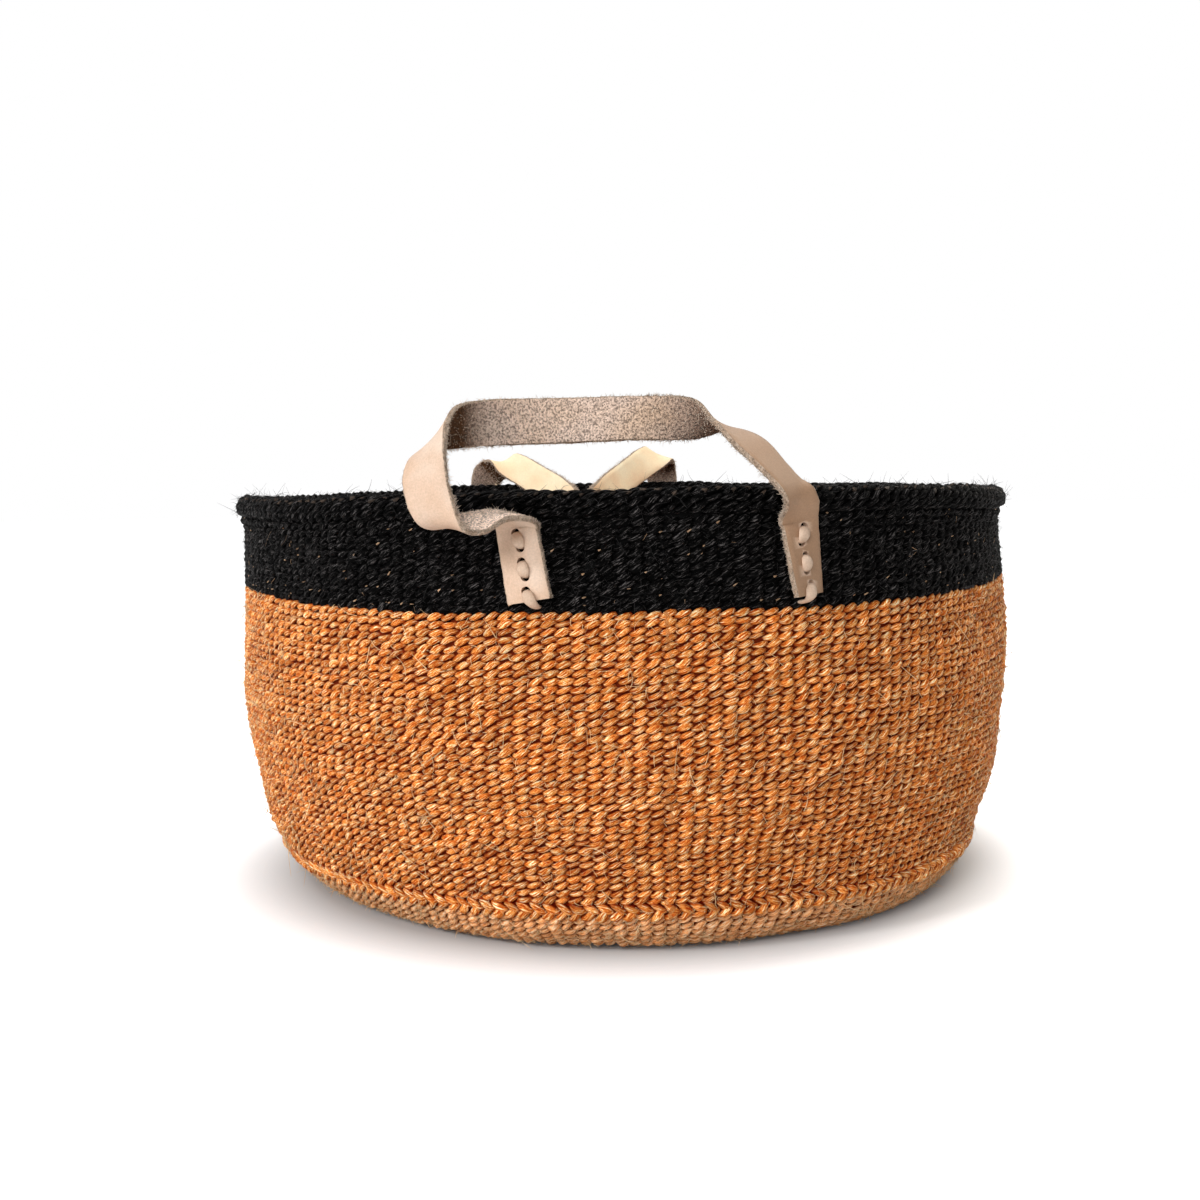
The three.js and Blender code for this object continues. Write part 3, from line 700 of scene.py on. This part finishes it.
# Fibres: the share of coarse ones, how much finer the others are, the noise from dark to light, the depth
# from the painted shade of a gap to clear of it, and the relief in metres. Leather: the noise of clouds and
# pores from dark to light, how high clouds stand beside pores, how light pores get, the relief and the gloss.
COARSE, FINER, FIBRE_TONES, GAP_SHADE_DEPTHS, FIBRE_RELIEF = 0.64, 2.7, (0.39, 0.61), (0.36, 0.82), 0.0012
CLOUD_TONES, PORE_TONES, CLOUD_HIGH, PORE_LIGHT = (0.3, 0.7), (0.3, 0.66), 0.6, 0.3
HIDE_RELIEF, HIDE_GLOSS = 0.003, 0.18


def add(tree, kind, ins=(), output=0, **settings):
    """An output of a new node, whose inputs are values or outputs of other nodes."""
    node = tree.nodes.new(kind)
    for key, value in settings.items():
        setattr(node, key, value)
    for key, value in dict(ins).items():
        if isinstance(value, bpy.types.NodeSocket):
            tree.links.new(value, node.inputs[key])
        else:
            node.inputs[key].default_value = value
    return node.outputs[output]


def math_node(tree, operation, a, b):
    return add(tree, "ShaderNodeMath", {0: a, 1: b}, operation=operation)


def spread(tree, value, low, high, to_low=0.0, to_high=1.0):
    """A value stretched from one range to another and kept within it."""
    ranges = {"From Min": low, "From Max": high, "To Min": to_low, "To Max": to_high}
    return add(tree, "ShaderNodeMapRange", {"Value": value, **ranges})


def noise(tree, place, scale, detail, roughness=0.5):
    ins = {"Vector": place, "Scale": scale, "Detail": detail, "Roughness": roughness}
    return add(tree, "ShaderNodeTexNoise", ins)


def relief(tree, height, strength, distance):
    """A normal that follows a height, which stands for a distance in metres."""
    ins = {"Height": height, "Strength": strength, "Distance": distance}
    return add(tree, "ShaderNodeBump", ins)


def attribute(tree, name, output="Fac"):
    return add(tree, "ShaderNodeAttribute", output=output, attribute_name=name)


def tinted(tree, colour, factor):
    """A colour made lighter or darker by a factor."""
    return add(tree, "ShaderNodeVectorMath", {0: colour, "Scale": factor}, operation="SCALE")


def mixed(tree, factor, a, b):
    """Two colours mixed by a factor."""
    a, b = ((*colour, 1) if isinstance(colour, tuple) else colour for colour in (a, b))
    return add(tree, "ShaderNodeMix", {"Factor": factor, 6: a, 7: b}, 2, data_type="RGBA")


def ramp(tree, factor, colours, places=None):
    """A colour picked by a factor from colours that lie evenly or at given places."""
    node = tree.nodes.new("ShaderNodeValToRGB")
    points = node.color_ramp.elements
    while len(points) < len(colours):
        points.new(0.5)
    for point, at, colour in zip(points, places or np.linspace(0, 1, len(colours)), colours):
        point.position, point.color = at, (*colour, 1)
    tree.links.new(factor, node.inputs[0])
    return node.outputs[0]


def group_of(name, ins, outs):
    """An empty shader group, with its inputs and outputs by name."""
    tree = bpy.data.node_groups.new(name, "ShaderNodeTree")
    for label, value in ins.items():
        socket = tree.interface.new_socket(label, in_out="INPUT", socket_type=VALUE)
        socket.default_value = value
    for label, kind in outs.items():
        tree.interface.new_socket(label, in_out="OUTPUT", socket_type=kind)
    return tree, tree.nodes.new("NodeGroupInput").outputs, tree.nodes.new("NodeGroupOutput").inputs


def yarn_group():
    """Fibres along a strand, the uneven tone of stitches, and the gaps between them, which take a painted
    shade.
    """
    tree, given, made = group_of("yarn_fibres", {"Fineness": 3.3, "Relief": 0.8, "Uneven": 0.4},
                                 {"Fibre": VALUE, "Stitch": VALUE, "ClearOfGapShade": VALUE, "Normal": NORMAL})
    link = tree.links.new
    lie = attribute(tree, "fibre", "Vector")
    coarse = noise(tree, lie, given["Fineness"], 2.0)
    fine = noise(tree, lie, math_node(tree, "MULTIPLY", given["Fineness"], FINER), 1.0)
    coarse_part = math_node(tree, "MULTIPLY", coarse, COARSE)
    both = math_node(tree, "ADD", coarse_part, math_node(tree, "MULTIPLY", fine, 1 - COARSE))
    centred = math_node(tree, "SUBTRACT", attribute(tree, "tone"), 0.5)
    uneven = math_node(tree, "MULTIPLY", centred, given["Uneven"])
    link(spread(tree, both, *FIBRE_TONES), made["Fibre"])
    link(math_node(tree, "ADD", uneven, 1.0), made["Stitch"])
    link(spread(tree, attribute(tree, "clear"), *GAP_SHADE_DEPTHS), made["ClearOfGapShade"])
    link(relief(tree, both, given["Relief"], FIBRE_RELIEF), made["Normal"])
    return tree


def hide_group():
    """Leather: broad clouds, pores or nap, and the relief of both."""
    tree, given, made = group_of("hide", {"Cloud": 60.0, "Pore": 900.0, "Relief": 0.3},
                                 {"Clouds": VALUE, "Pores": VALUE, "Normal": NORMAL})
    link = tree.links.new
    place = add(tree, "ShaderNodeTexCoord", output="Object")
    cloud = noise(tree, place, given["Cloud"], 4.0)
    pore = noise(tree, place, given["Pore"], 3.0, 0.6)
    height = math_node(tree, "ADD", pore, math_node(tree, "MULTIPLY", cloud, CLOUD_HIGH))
    link(spread(tree, cloud, *CLOUD_TONES), made["Clouds"])
    link(spread(tree, pore, *PORE_TONES), made["Pores"])
    link(relief(tree, height, given["Relief"], HIDE_RELIEF), made["Normal"])
    return tree


YARN = yarn_group()
HIDE = hide_group()


def surface(name, roughness, specular):
    material = bpy.data.materials.new(name)
    material.use_nodes = True
    tree = material.node_tree
    shader = tree.nodes["Principled BSDF"].inputs
    shader["Roughness"].default_value = roughness
    shader["Specular IOR Level"].default_value = specular
    return material, tree, shader


def placed_group(tree, group, **values):
    node = tree.nodes.new("ShaderNodeGroup")
    node.node_tree = group
    for key, value in values.items():
        node.inputs[key].default_value = value
    return node.outputs


def yarn(name, colours, roughness, specular, gap_shade=None, places=None, **values):
    """Yarn in the colours of its fibres, with a painted shade in the gaps: its darkest colour or another one.
    """
    material, tree, shader = surface(name, roughness, specular)
    fibres = placed_group(tree, YARN, **values)
    colour = tinted(tree, ramp(tree, fibres["Fibre"], colours, places), fibres["Stitch"])
    # Painted shade: the colour turns to the gap colour where the yarn is not clear of the gaps
    tree.links.new(mixed(tree, fibres["ClearOfGapShade"], gap_shade or colours[0], colour), shader["Base Color"])
    tree.links.new(fibres["Normal"], shader["Normal"])
    return material


def leather(name, colours, roughness, speckle, turn=None, crisp=1.0, **values):
    """Leather in clouds of colour with dark pores, which may turn to another colour, a painted shade, where
    an attribute says.
    """
    material, tree, shader = surface(name, roughness, HIDE_GLOSS)
    hide = placed_group(tree, HIDE, **values)
    colour = ramp(tree, hide["Clouds"], colours)
    half = 0.5 / crisp
    pores = spread(tree, hide["Pores"], 0.5 - half, 0.5 + half, 1 - speckle, 1 + speckle * PORE_LIGHT)
    if turn:
        where, other = turn
        colour = mixed(tree, attribute(tree, where), colour, other)
    tree.links.new(tinted(tree, colour, pores), shader["Base Color"])
    tree.links.new(hide["Normal"], shader["Normal"])
    return material


# The palest fibre tones are partly pale fibres and partly a painted highlight
tan_yarn = yarn(
    "tan_sisal", [(0.36, 0.036, 0.001), (0.57, 0.133, 0.016), (0.77, 0.265, 0.05), (1.0, 0.56, 0.19),
                  (1.0, 0.9, 0.6)], places=(0.0, 0.28, 0.6, 0.85, 1.0),
    gap_shade=(0.22, 0.014, 0.0005), roughness=0.5, specular=0.06, Uneven=0.45)
# The foot and base yarn is paler and duller than the wall's
foot_yarn = yarn(
    "pale_dull_tan_sisal", [(0.53, 0.17, 0.046), (0.8, 0.33, 0.113), (1.0, 0.53, 0.235), (1.0, 0.78, 0.54)],
    places=(0.0, 0.3, 0.7, 1.0), gap_shade=(0.3, 0.075, 0.017), roughness=0.7, specular=0.1, Uneven=0.35)
# The brightest fibre tones of the black yarn are painted glints
black_yarn = yarn(
    "black_sisal", [(0.0006, 0.0006, 0.0006), (0.0014, 0.0013, 0.0013), (0.009, 0.0084, 0.0083),
                    (0.1, 0.092, 0.09)], places=(0.0, 0.55, 0.8, 1.0),
    gap_shade=(0.0003, 0.0003, 0.0003), roughness=0.5, specular=0.015, Relief=1.0, Uneven=0.8)
tan_hair = yarn("tan_loose_fibre", [(1.0, 0.56, 0.23), (1.0, 0.8, 0.5)],
                roughness=0.5, specular=0.2, Uneven=0.3)
black_hair = yarn("black_loose_fibre", [(0.004, 0.004, 0.004), (0.03, 0.027, 0.026)],
                  roughness=0.45, specular=0.2, Uneven=0.6)
pale_hair = yarn("pale_loose_fibre", [(0.4, 0.21, 0.1), (0.8, 0.56, 0.36)],
                 roughness=0.5, specular=0.3, Uneven=0.9)
warp_end = yarn("warp_end", [(0.008, 0.006, 0.004), (0.1, 0.07, 0.052)],
                roughness=0.6, specular=0.15, Uneven=1.4)
# Warp sheets carry no clear values, so they show only their first colour, a painted shade for the gaps
tan_warp_shade = yarn("tan_warp_painted_shade", [(0.15, 0.016, 0.002), (0.3, 0.045, 0.008)], roughness=0.8, specular=0.1)
black_warp_shade = yarn("black_warp_painted_shade", [(0.001, 0.001, 0.001), (0.004, 0.004, 0.004)], roughness=0.8, specular=0.1)
edge_fuzz = yarn("leather_fuzz", [(0.68, 0.52, 0.4), (0.9, 0.77, 0.64)],
                 roughness=0.8, specular=0.2, Uneven=0.4)
# The front strap's smooth side darkens towards its right end with a painted shade
front_grain = leather(
    "front_leather_smooth_side", [(0.53, 0.35, 0.235), (0.61, 0.435, 0.32), (0.67, 0.52, 0.41)],
    roughness=0.5, speckle=0.14, turn=("end_shade", (0.37, 0.225, 0.137)), Cloud=38.0, Pore=1100.0, Relief=0.12)
# The rear strap's smooth side is much lighter than the front one's: painted light
rear_grain_painted_light = leather(
    "rear_leather_smooth_side_painted_light", [(0.9, 0.61, 0.37), (0.97, 0.76, 0.5), (1.0, 0.87, 0.62)],
    roughness=0.5, speckle=0.1, Cloud=38.0, Pore=1100.0, Relief=0.12)
# The raw side turns dark brown in the strap's bends: a painted shade
flesh_side = leather(
    "leather_raw_side", [(0.88, 0.63, 0.45), (0.93, 0.71, 0.58), (0.96, 0.78, 0.66)],
    roughness=0.95, speckle=0.62, turn=("bend_shade", (0.09, 0.04, 0.016)), crisp=2.2,
    Cloud=22.0, Pore=900.0, Relief=0.6)
cut_edge = leather(
    "leather_cut_edge", [(0.48, 0.33, 0.23), (0.62, 0.46, 0.34), (0.75, 0.59, 0.46)],
    roughness=0.95, speckle=0.6, Cloud=300.0, Pore=1000.0, Relief=1.0)
lace_leather = leather(
    "lace_leather", [(0.5, 0.345, 0.245), (0.64, 0.48, 0.365)],
    roughness=0.5, speckle=0.15, Cloud=120.0, Pore=1200.0, Relief=0.2)


# Pieces of the weave

def piece(name, mesh, materials, replaced=(), body="basket"):
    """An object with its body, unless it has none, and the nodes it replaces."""
    obj = new_object(name, mesh)
    for material in materials:
        obj.data.materials.append(material)
    if body:
        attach(obj, body)
    if replaced:
        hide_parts(*replaced)
    return obj


def woven(name, rows, material, slot, node, thick=YARN_HALF, swing=YARN_SWING, lift=YARN_LIFT, columns=WARPS,
          **kind):
    piece(name, twine(name, rows, columns, thick, swing, lift, **kind), [material], [node])


def woven_in_parts(parts, name, rows, material, slot, node, **kind):
    """Twined rows as several numbered pieces, from the lowest up."""
    for part, some in enumerate(np.array_split(rows, parts), 1):
        woven(f"{name}_{part}", some, material, slot, node, **kind)


woven_in_parts(5, "tan_weave", wall_rows(heel_top, band_foot, TAN_ROWS), tan_yarn, "sisal_tan", "tan_wall")
woven_in_parts(2, "black_weave", wall_rows(band_foot, wall_top, BLACK_ROWS), black_yarn, "sisal_black",
               "black_band")
woven_in_parts(2, "rim_weave", rim_rows(RIM_ROWS, RIM_DEEP), black_yarn, "sisal_black", "rim_binding",
               thick=1.7, swing=0.9, lift=1.6)
heel_low, heel_high = wall_rows(heel_foot, heel_top, 2, HEEL_RISE)[:, None]
for name, rows, slant in (("heel_weave_low", heel_low, 1), ("heel_weave_high", heel_high, -1)):
    woven(name, rows, tan_yarn, "sisal_tan", "heel_course", thick=2.1, swing=2.1, lift=1.8, slant=slant)
woven_in_parts(2, "base_edge_weave", edge_rows(EDGE_ROWS), foot_yarn, "sisal_tan", "base_weave", lift=1.3)
for zone, (inner, outer, count, columns) in enumerate(BASE_ZONES, 1):
    woven(f"base_weave_{zone}", base_rows(inner, outer, count), foot_yarn, "sisal_tan", "base_weave",
          thick=2.4, swing=1.6, lift=1.4, columns=columns, steps=4, sides=5, wide=1.2)

# The warps behind the stitches, dark with the painted shade that the gaps between stitches show. The black
# sheet reaches past the band's ends, so that no light comes through.
SHEET_HALF, BUNDLE_HALF, BUNDLE_DEEP = 0.9, 0.7, 0.8
BAND_BELOW, BAND_ABOVE = 8, 10
tan_inner = np.concatenate([base_rows(0, flat_radius, 12), edge_rows(5), wall_rows(heel_foot, band_foot, 24)])
black_inner = wall_rows(band_foot - BAND_BELOW, wall_top + BAND_ABOVE, 10)
rim_inner = rim_rows(13, roll_radius - CORE / 2 + BUNDLE_DEEP)
piece("tan_warps", shell("tan_warps", tan_inner, SHEET_HALF), [tan_warp_shade])
piece("black_warps", shell("black_warps", black_inner, SHEET_HALF), [black_warp_shade])
piece("rim_bundle", shell("rim_bundle", rim_inner, BUNDLE_HALF), [black_warp_shade], ["rim_core"])

# Loose fibres: how many, between which heights, their usual reach, their thickness and how far they stand off
for name, count, low, high, reach, thick, lean, hair, slot in (
        ("tan_loose_fibres", 2600, 8, band_foot, 7, 0.22, 0.3, tan_hair, "sisal_tan"),
        ("tan_long_fibres", 1100, 6, band_foot, 13, 0.3, 0.7, tan_hair, "sisal_tan"),
        ("tan_stray_fibres", 1800, 6, band_foot, 6, 0.12, 1.3, tan_hair, "sisal_tan"),
        ("black_stray_fibres", 900, band_foot, wall_top, 5, 0.11, 1.3, black_hair, "sisal_black"),
        ("foot_loose_fibres", 6200, 0.5, heel_top, 4, 0.22, 0.4, tan_hair, "sisal_tan"),
        ("black_loose_fibres", 2600, band_foot, wall_top, 8, 0.12, 0.4, black_hair, "sisal_black"),
        ("rim_loose_fibres", 1500, wall_top + 1, HEIGHT, 8, 0.13, 0.7, black_hair, "sisal_black"),
        ("black_pale_fibres", 70, band_foot, wall_top, 6, 0.14, 0.3, pale_hair, "sisal_black")):
    piece(name, sprung(name, count, low, high, reach, thick, lean), [hair])


# Warp ends: how they slant and stray. Those in the band: how many, how deep, how many more in low rows, and
# how far aside. Those of the rim: how deep, where on its turn, and how far from there.
END_SLANT, END_STRAY = np.array([0, 0, 0.45]), 0.2
PEEPS, PEEP_DEEP, PEEP_LOW, PEEP_ASIDE = 280, 1.3, 1.7, 0.1
RIM_END_DEEP, RIM_END_TURN, RIM_END_SPREAD = 0.9, 52, 9


def peeps(name, angle, radius, height, length, thick, hair):
    """Short ends of warp that show between the stitches."""
    roots = laid(angle, radius, height)
    right = turned(angle + math.pi / 2, np.ones_like(angle), 0)
    ways = unit(right + END_SLANT + rng.normal(0, END_STRAY, (len(angle), 3)))
    starts = roots - ways * length[:, None] / 2
    ends = loose_fibres(name, starts, ways, np.zeros_like(ways), length, thick, 2)
    piece(name, ends, [hair])


warp_turn = 2 * math.pi / WARPS
peep_row = np.ceil(BLACK_ROWS * rng.random(PEEPS) ** PEEP_LOW)
peep_height = band_foot + peep_row * (wall_top - band_foot) / BLACK_ROWS
peep_angle = (rng.integers(0, WARPS, PEEPS) + 0.5 + rng.normal(0, PEEP_ASIDE, PEEPS)) * warp_turn
peeps("band_warp_peeps", peep_angle, wall_at(peep_height)[0] - PEEP_DEEP, peep_height,
      between(1.2, 2.8, PEEPS), between(0.35, 0.65, PEEPS), pale_hair)
end_angle = (np.arange(WARPS) + 0.5) * warp_turn
end_turn = rng.normal(RIM_END_TURN, RIM_END_SPREAD, WARPS) * deg
end_radius = roll_radius - RIM_END_DEEP
peeps("rim_warp_ends", end_angle, roll_centre + end_radius * np.cos(end_turn),
      roll_height + end_radius * np.sin(end_turn), between(2.5, 4.0, WARPS), between(1.2, 1.7, WARPS),
      warp_end)


# Handles

# Fuzz of a strap: how many hairs, the stations at each end without nap, the share of nap elsewhere, how short
# hairs are at the ends, how thick nap and edge hairs are, how far aside and how deep they start, how far edge
# hairs lean aside, how all stray and bend, and their least length and what is added to it
FUZZ, FUZZ_END, NAP_SHARE, END_SHORT, NAP_THICK, HAIR_THICK = 8400, 40, 0.5, 0.45, 0.22, 0.15
NAP_WIDE, NAP_DEEP, HAIR_ASIDE, HAIR_DEEP = 11.5, 1.4, 11.8, 1.5
HAIR_LEAN, FUZZ_STRAY, FUZZ_BEND, FUZZ_LEAST, FUZZ_MORE = 0.8, 0.5, 0.6, 0.3, 1.2


def strap_fuzz(name, middle, across, out):
    """Short hairs along a strap's cut edges, and nap on its raw face."""
    stations = len(middle)
    at = rng.integers(1, stations - 1, FUZZ)
    which = np.where(rng.random(FUZZ) < 0.5, -1, 1)[:, None]
    share = rng.random((FUZZ, 1))
    near = middle[at] * share + middle[at - 1] * (1 - share)
    free = (np.abs(at - stations / 2) < stations / 2 - FUZZ_END)[:, None]
    nap = free & (rng.random((FUZZ, 1)) < NAP_SHARE)
    aside = which * np.where(nap, between(0, NAP_WIDE, (FUZZ, 1)), HAIR_ASIDE)
    deep = np.where(nap, NAP_DEEP, between(0, HAIR_DEEP, (FUZZ, 1)))
    roots = near + across[at] * aside - out[at] * deep
    aslant = across[at] * np.where(nap, 0, HAIR_LEAN * which) - out[at] * between(0.1, 0.7, (FUZZ, 1))
    ways = unit(aslant + rng.normal(0, FUZZ_STRAY, (FUZZ, 3)))
    bends = rng.normal(0, FUZZ_BEND, (FUZZ, 3))
    lengths = (FUZZ_LEAST + FUZZ_MORE * rng.random(FUZZ) ** 2) * np.where(free[:, 0], 1, END_SHORT)
    return loose_fibres(name, roots, ways, bends, lengths, np.where(nap[:, 0], NAP_THICK, HAIR_THICK), 3)


def handle(name, turn, riser, route, droop, grain, start, end):
    """One strap with its two laces. Its start and end are not used."""
    labels = [f"{name}_left", f"{name}_right"]
    tabs = [tab_of(side, label) for side, label in zip((-1, 1), labels)]
    line = [turned_about(v, turn) for v in strap_line(tabs, riser, route, droop)]
    strap = strap_mesh(f"{name}_strap", *line)
    strap = piece(f"{name}_strap", strap, [grain, flesh_side, cut_edge],
                  [f"{name}_handle_loop", f"{name}_left_tab", f"{name}_right_tab"], body=None)
    punch(strap, tabs, [SWAY[label] for label in labels], turn)
    fuzz = strap_fuzz(f"{name}_strap_fuzz", *line)
    fuzz = piece(f"{name}_strap_fuzz", fuzz, [edge_fuzz], body=None)
    for obj in (strap, fuzz):
        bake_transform(obj)
    for label, tab in zip(labels, tabs):
        thong = f"{label}_lace_thong"
        piece(thong, lace_mesh(thong, tab, SWAY[label], turn), [lace_leather], [f"{label}_lace"])


# The rear strap rises round the rim. A bend's start and end are given from the line where the strap leaves
# the
# basket: for the front strap just above its tabs, for the rear one level with its joint. The handles do not
# use them.
FRONT_BEND = np.array([0, 0, 0]), np.array([0, -3.5, 6.1])
REAR_BEND = np.array([0, -2.1, -4.5]), np.array([0, 3.9, 3.5])
RISER_TURNS = (-45, 0)
front_line = np.array([0, -neck_radius * math.cos(TAB_ANGLE * deg), tab_top])
rear_line = np.array([0, -(RIM_RADIUS + SEAT) * math.cos(TAB_ANGLE * deg), HEIGHT + REAR_RISE])
strap_face = roll_radius + SEAT + STRAP_THICK / 2
round_rim = strap_face + RIM_GAP
rear_riser = [(round_rim * math.cos(turn * deg) - strap_face, round_rim * math.sin(turn * deg) - roll_radius)
              for turn in RISER_TURNS]
rear_riser.append((RIM_GAP, REAR_RISE))
handle("front", 0, [], FRONT_ROUTE, 0, front_grain, *(front_line + bend for bend in FRONT_BEND))
handle("rear", 180 + REAR_TURN, rear_riser, REAR_ROUTE, REAR_DROOP, rear_grain_painted_light,
       *(rear_line + bend for bend in REAR_BEND))


# Floor and light, in metres and watts

# Up to the basket's foot the floor's colour is darker, a painted shadow, and it glows less white there, so
# that it keeps its real shadow too
FLOOR_HALF = 9.0
GLOW_FROM, GLOW_TO, GLOW_LEAST = 0.21, 0.31, 0.03
SHADOW_PAINT_FROM, SHADOW_PAINT_TO = 0.2, 0.29
PAINTED_SHADOW_TONES = ((0.45, 0.45, 0.45), (0.86, 0.86, 0.86))
FILL_LEFT, FILL_RIGHT = 0.38, 0.11
WHITE = (1, 1, 1, 1)


def seen_straight(tree):
    """One for rays from the camera, and for those that a glossy or clear surface sends on."""
    path = tree.nodes.new("ShaderNodeLightPath").outputs
    sent_on = math_node(tree, "MAXIMUM", path["Is Glossy Ray"], path["Is Transmission Ray"])
    return math_node(tree, "MAXIMUM", path["Is Camera Ray"], sent_on)


def pale_floor():
    """A floor that looks white away from the basket, takes its shadow and has a painted one near the foot."""
    material, tree, shader = surface("pale_floor", 0.9, 0.1)
    shader["Emission Color"].default_value = WHITE
    place = add(tree, "ShaderNodeTexCoord", output="Object")
    away = add(tree, "ShaderNodeVectorMath", {0: place}, "Value", operation="LENGTH")
    glow = spread(tree, away, GLOW_FROM, GLOW_TO, GLOW_LEAST, 1.0)
    tree.links.new(math_node(tree, "MULTIPLY", seen_straight(tree), glow), shader["Emission Strength"])
    # Painted shadow: the floor's colour darkens towards the basket's foot
    tree.links.new(ramp(tree, spread(tree, away, SHADOW_PAINT_FROM, SHADOW_PAINT_TO), PAINTED_SHADOW_TONES), shader["Base Color"])
    return material


def studio_sky():
    """A white backdrop that gives more fill light from the left than from the right."""
    world = bpy.data.worlds.new("studio")
    world.use_nodes = True
    tree = world.node_tree
    back = tree.nodes["Background"].inputs
    back["Color"].default_value = WHITE
    direction = add(tree, "ShaderNodeTexCoord", output="Generated")
    to_right = add(tree, "ShaderNodeSeparateXYZ", {0: direction}, "X")
    fill = spread(tree, to_right, -1.0, 1.0, FILL_LEFT, FILL_RIGHT)
    strength = {"Factor": seen_straight(tree), "A": fill, "B": 1.0}
    tree.links.new(add(tree, "ShaderNodeMix", strength, data_type="FLOAT"), back["Strength"])
    return world


def softbox(name, place, aim, size, power, colour=(1, 1, 1)):
    """A round lamp at a place that aims at a spot."""
    light = bpy.data.lights.new(name, "AREA")
    light.shape, light.size, light.energy, light.color = "DISK", size, power, colour
    lamp = new_object(name, light)
    lamp.location = place
    lamp.rotation_mode = "QUATERNION"
    lamp.rotation_quaternion = (Vector(aim) - Vector(place)).to_track_quat("-Z", "Y")


floor_mesh = bpy.data.meshes.new("floor")
corners = [(x * FLOOR_HALF, y * FLOOR_HALF, 0) for x, y in ((-1, -1), (1, -1), (1, 1), (-1, 1))]
floor_mesh.from_pydata(corners, [], [(0, 1, 2, 3)])
floor = new_object("floor", floor_mesh)
floor_mesh.materials.append(pale_floor())
bpy.context.scene.world = studio_sky()
softbox("window", (-1.8, -1.25, 1.15), aim=(0, 0, 0.15), size=0.5, power=25)
softbox("front", (-0.8, -2.2, 1.3), aim=(0, 0, 0.15), size=1.2, power=31)
softbox("top", (0.3, 0.3, 2.2), aim=(0, 0, 0.1), size=1.2, power=18)
softbox("side", (1.3, 0.7, 1.4), aim=(0, 0, 0.2), size=1.0, power=12, colour=(1, 0.92, 0.76))


# Camera

# The photograph's width, its focal length and the basket's step aside in it, in pixels
PHOTO_WIDTH, FOCAL, BASKET_ASIDE = 1200, 1487, 21
SENSOR, CLIP_START = 36.0, 0.02
CAMERA_AWAY, CAMERA_HEIGHT, CAMERA_ROUND = 1.0, 0.258, 5.6 * deg
PITCH, TIP = -4.9 * deg, 1.0 * deg

lens = bpy.data.cameras.new("camera")
camera = new_object("camera", lens)
bpy.context.scene.camera = camera
lens.sensor_width = SENSOR
lens.lens = FOCAL / PHOTO_WIDTH * SENSOR
lens.clip_start = CLIP_START
camera.location = turned(-CAMERA_ROUND, CAMERA_AWAY, CAMERA_HEIGHT)
yaw = math.atan(BASKET_ASIDE / FOCAL) - CAMERA_ROUND
camera.rotation_mode = "QUATERNION"
camera.rotation_quaternion = (Matrix.Rotation(yaw, 3, "Z") @ Matrix.Rotation(math.pi / 2 + PITCH, 3, "X")
                              @ Matrix.Rotation(-TIP, 3, "Z")).to_quaternion()

bpy.context.scene.view_settings.view_transform = "Standard"
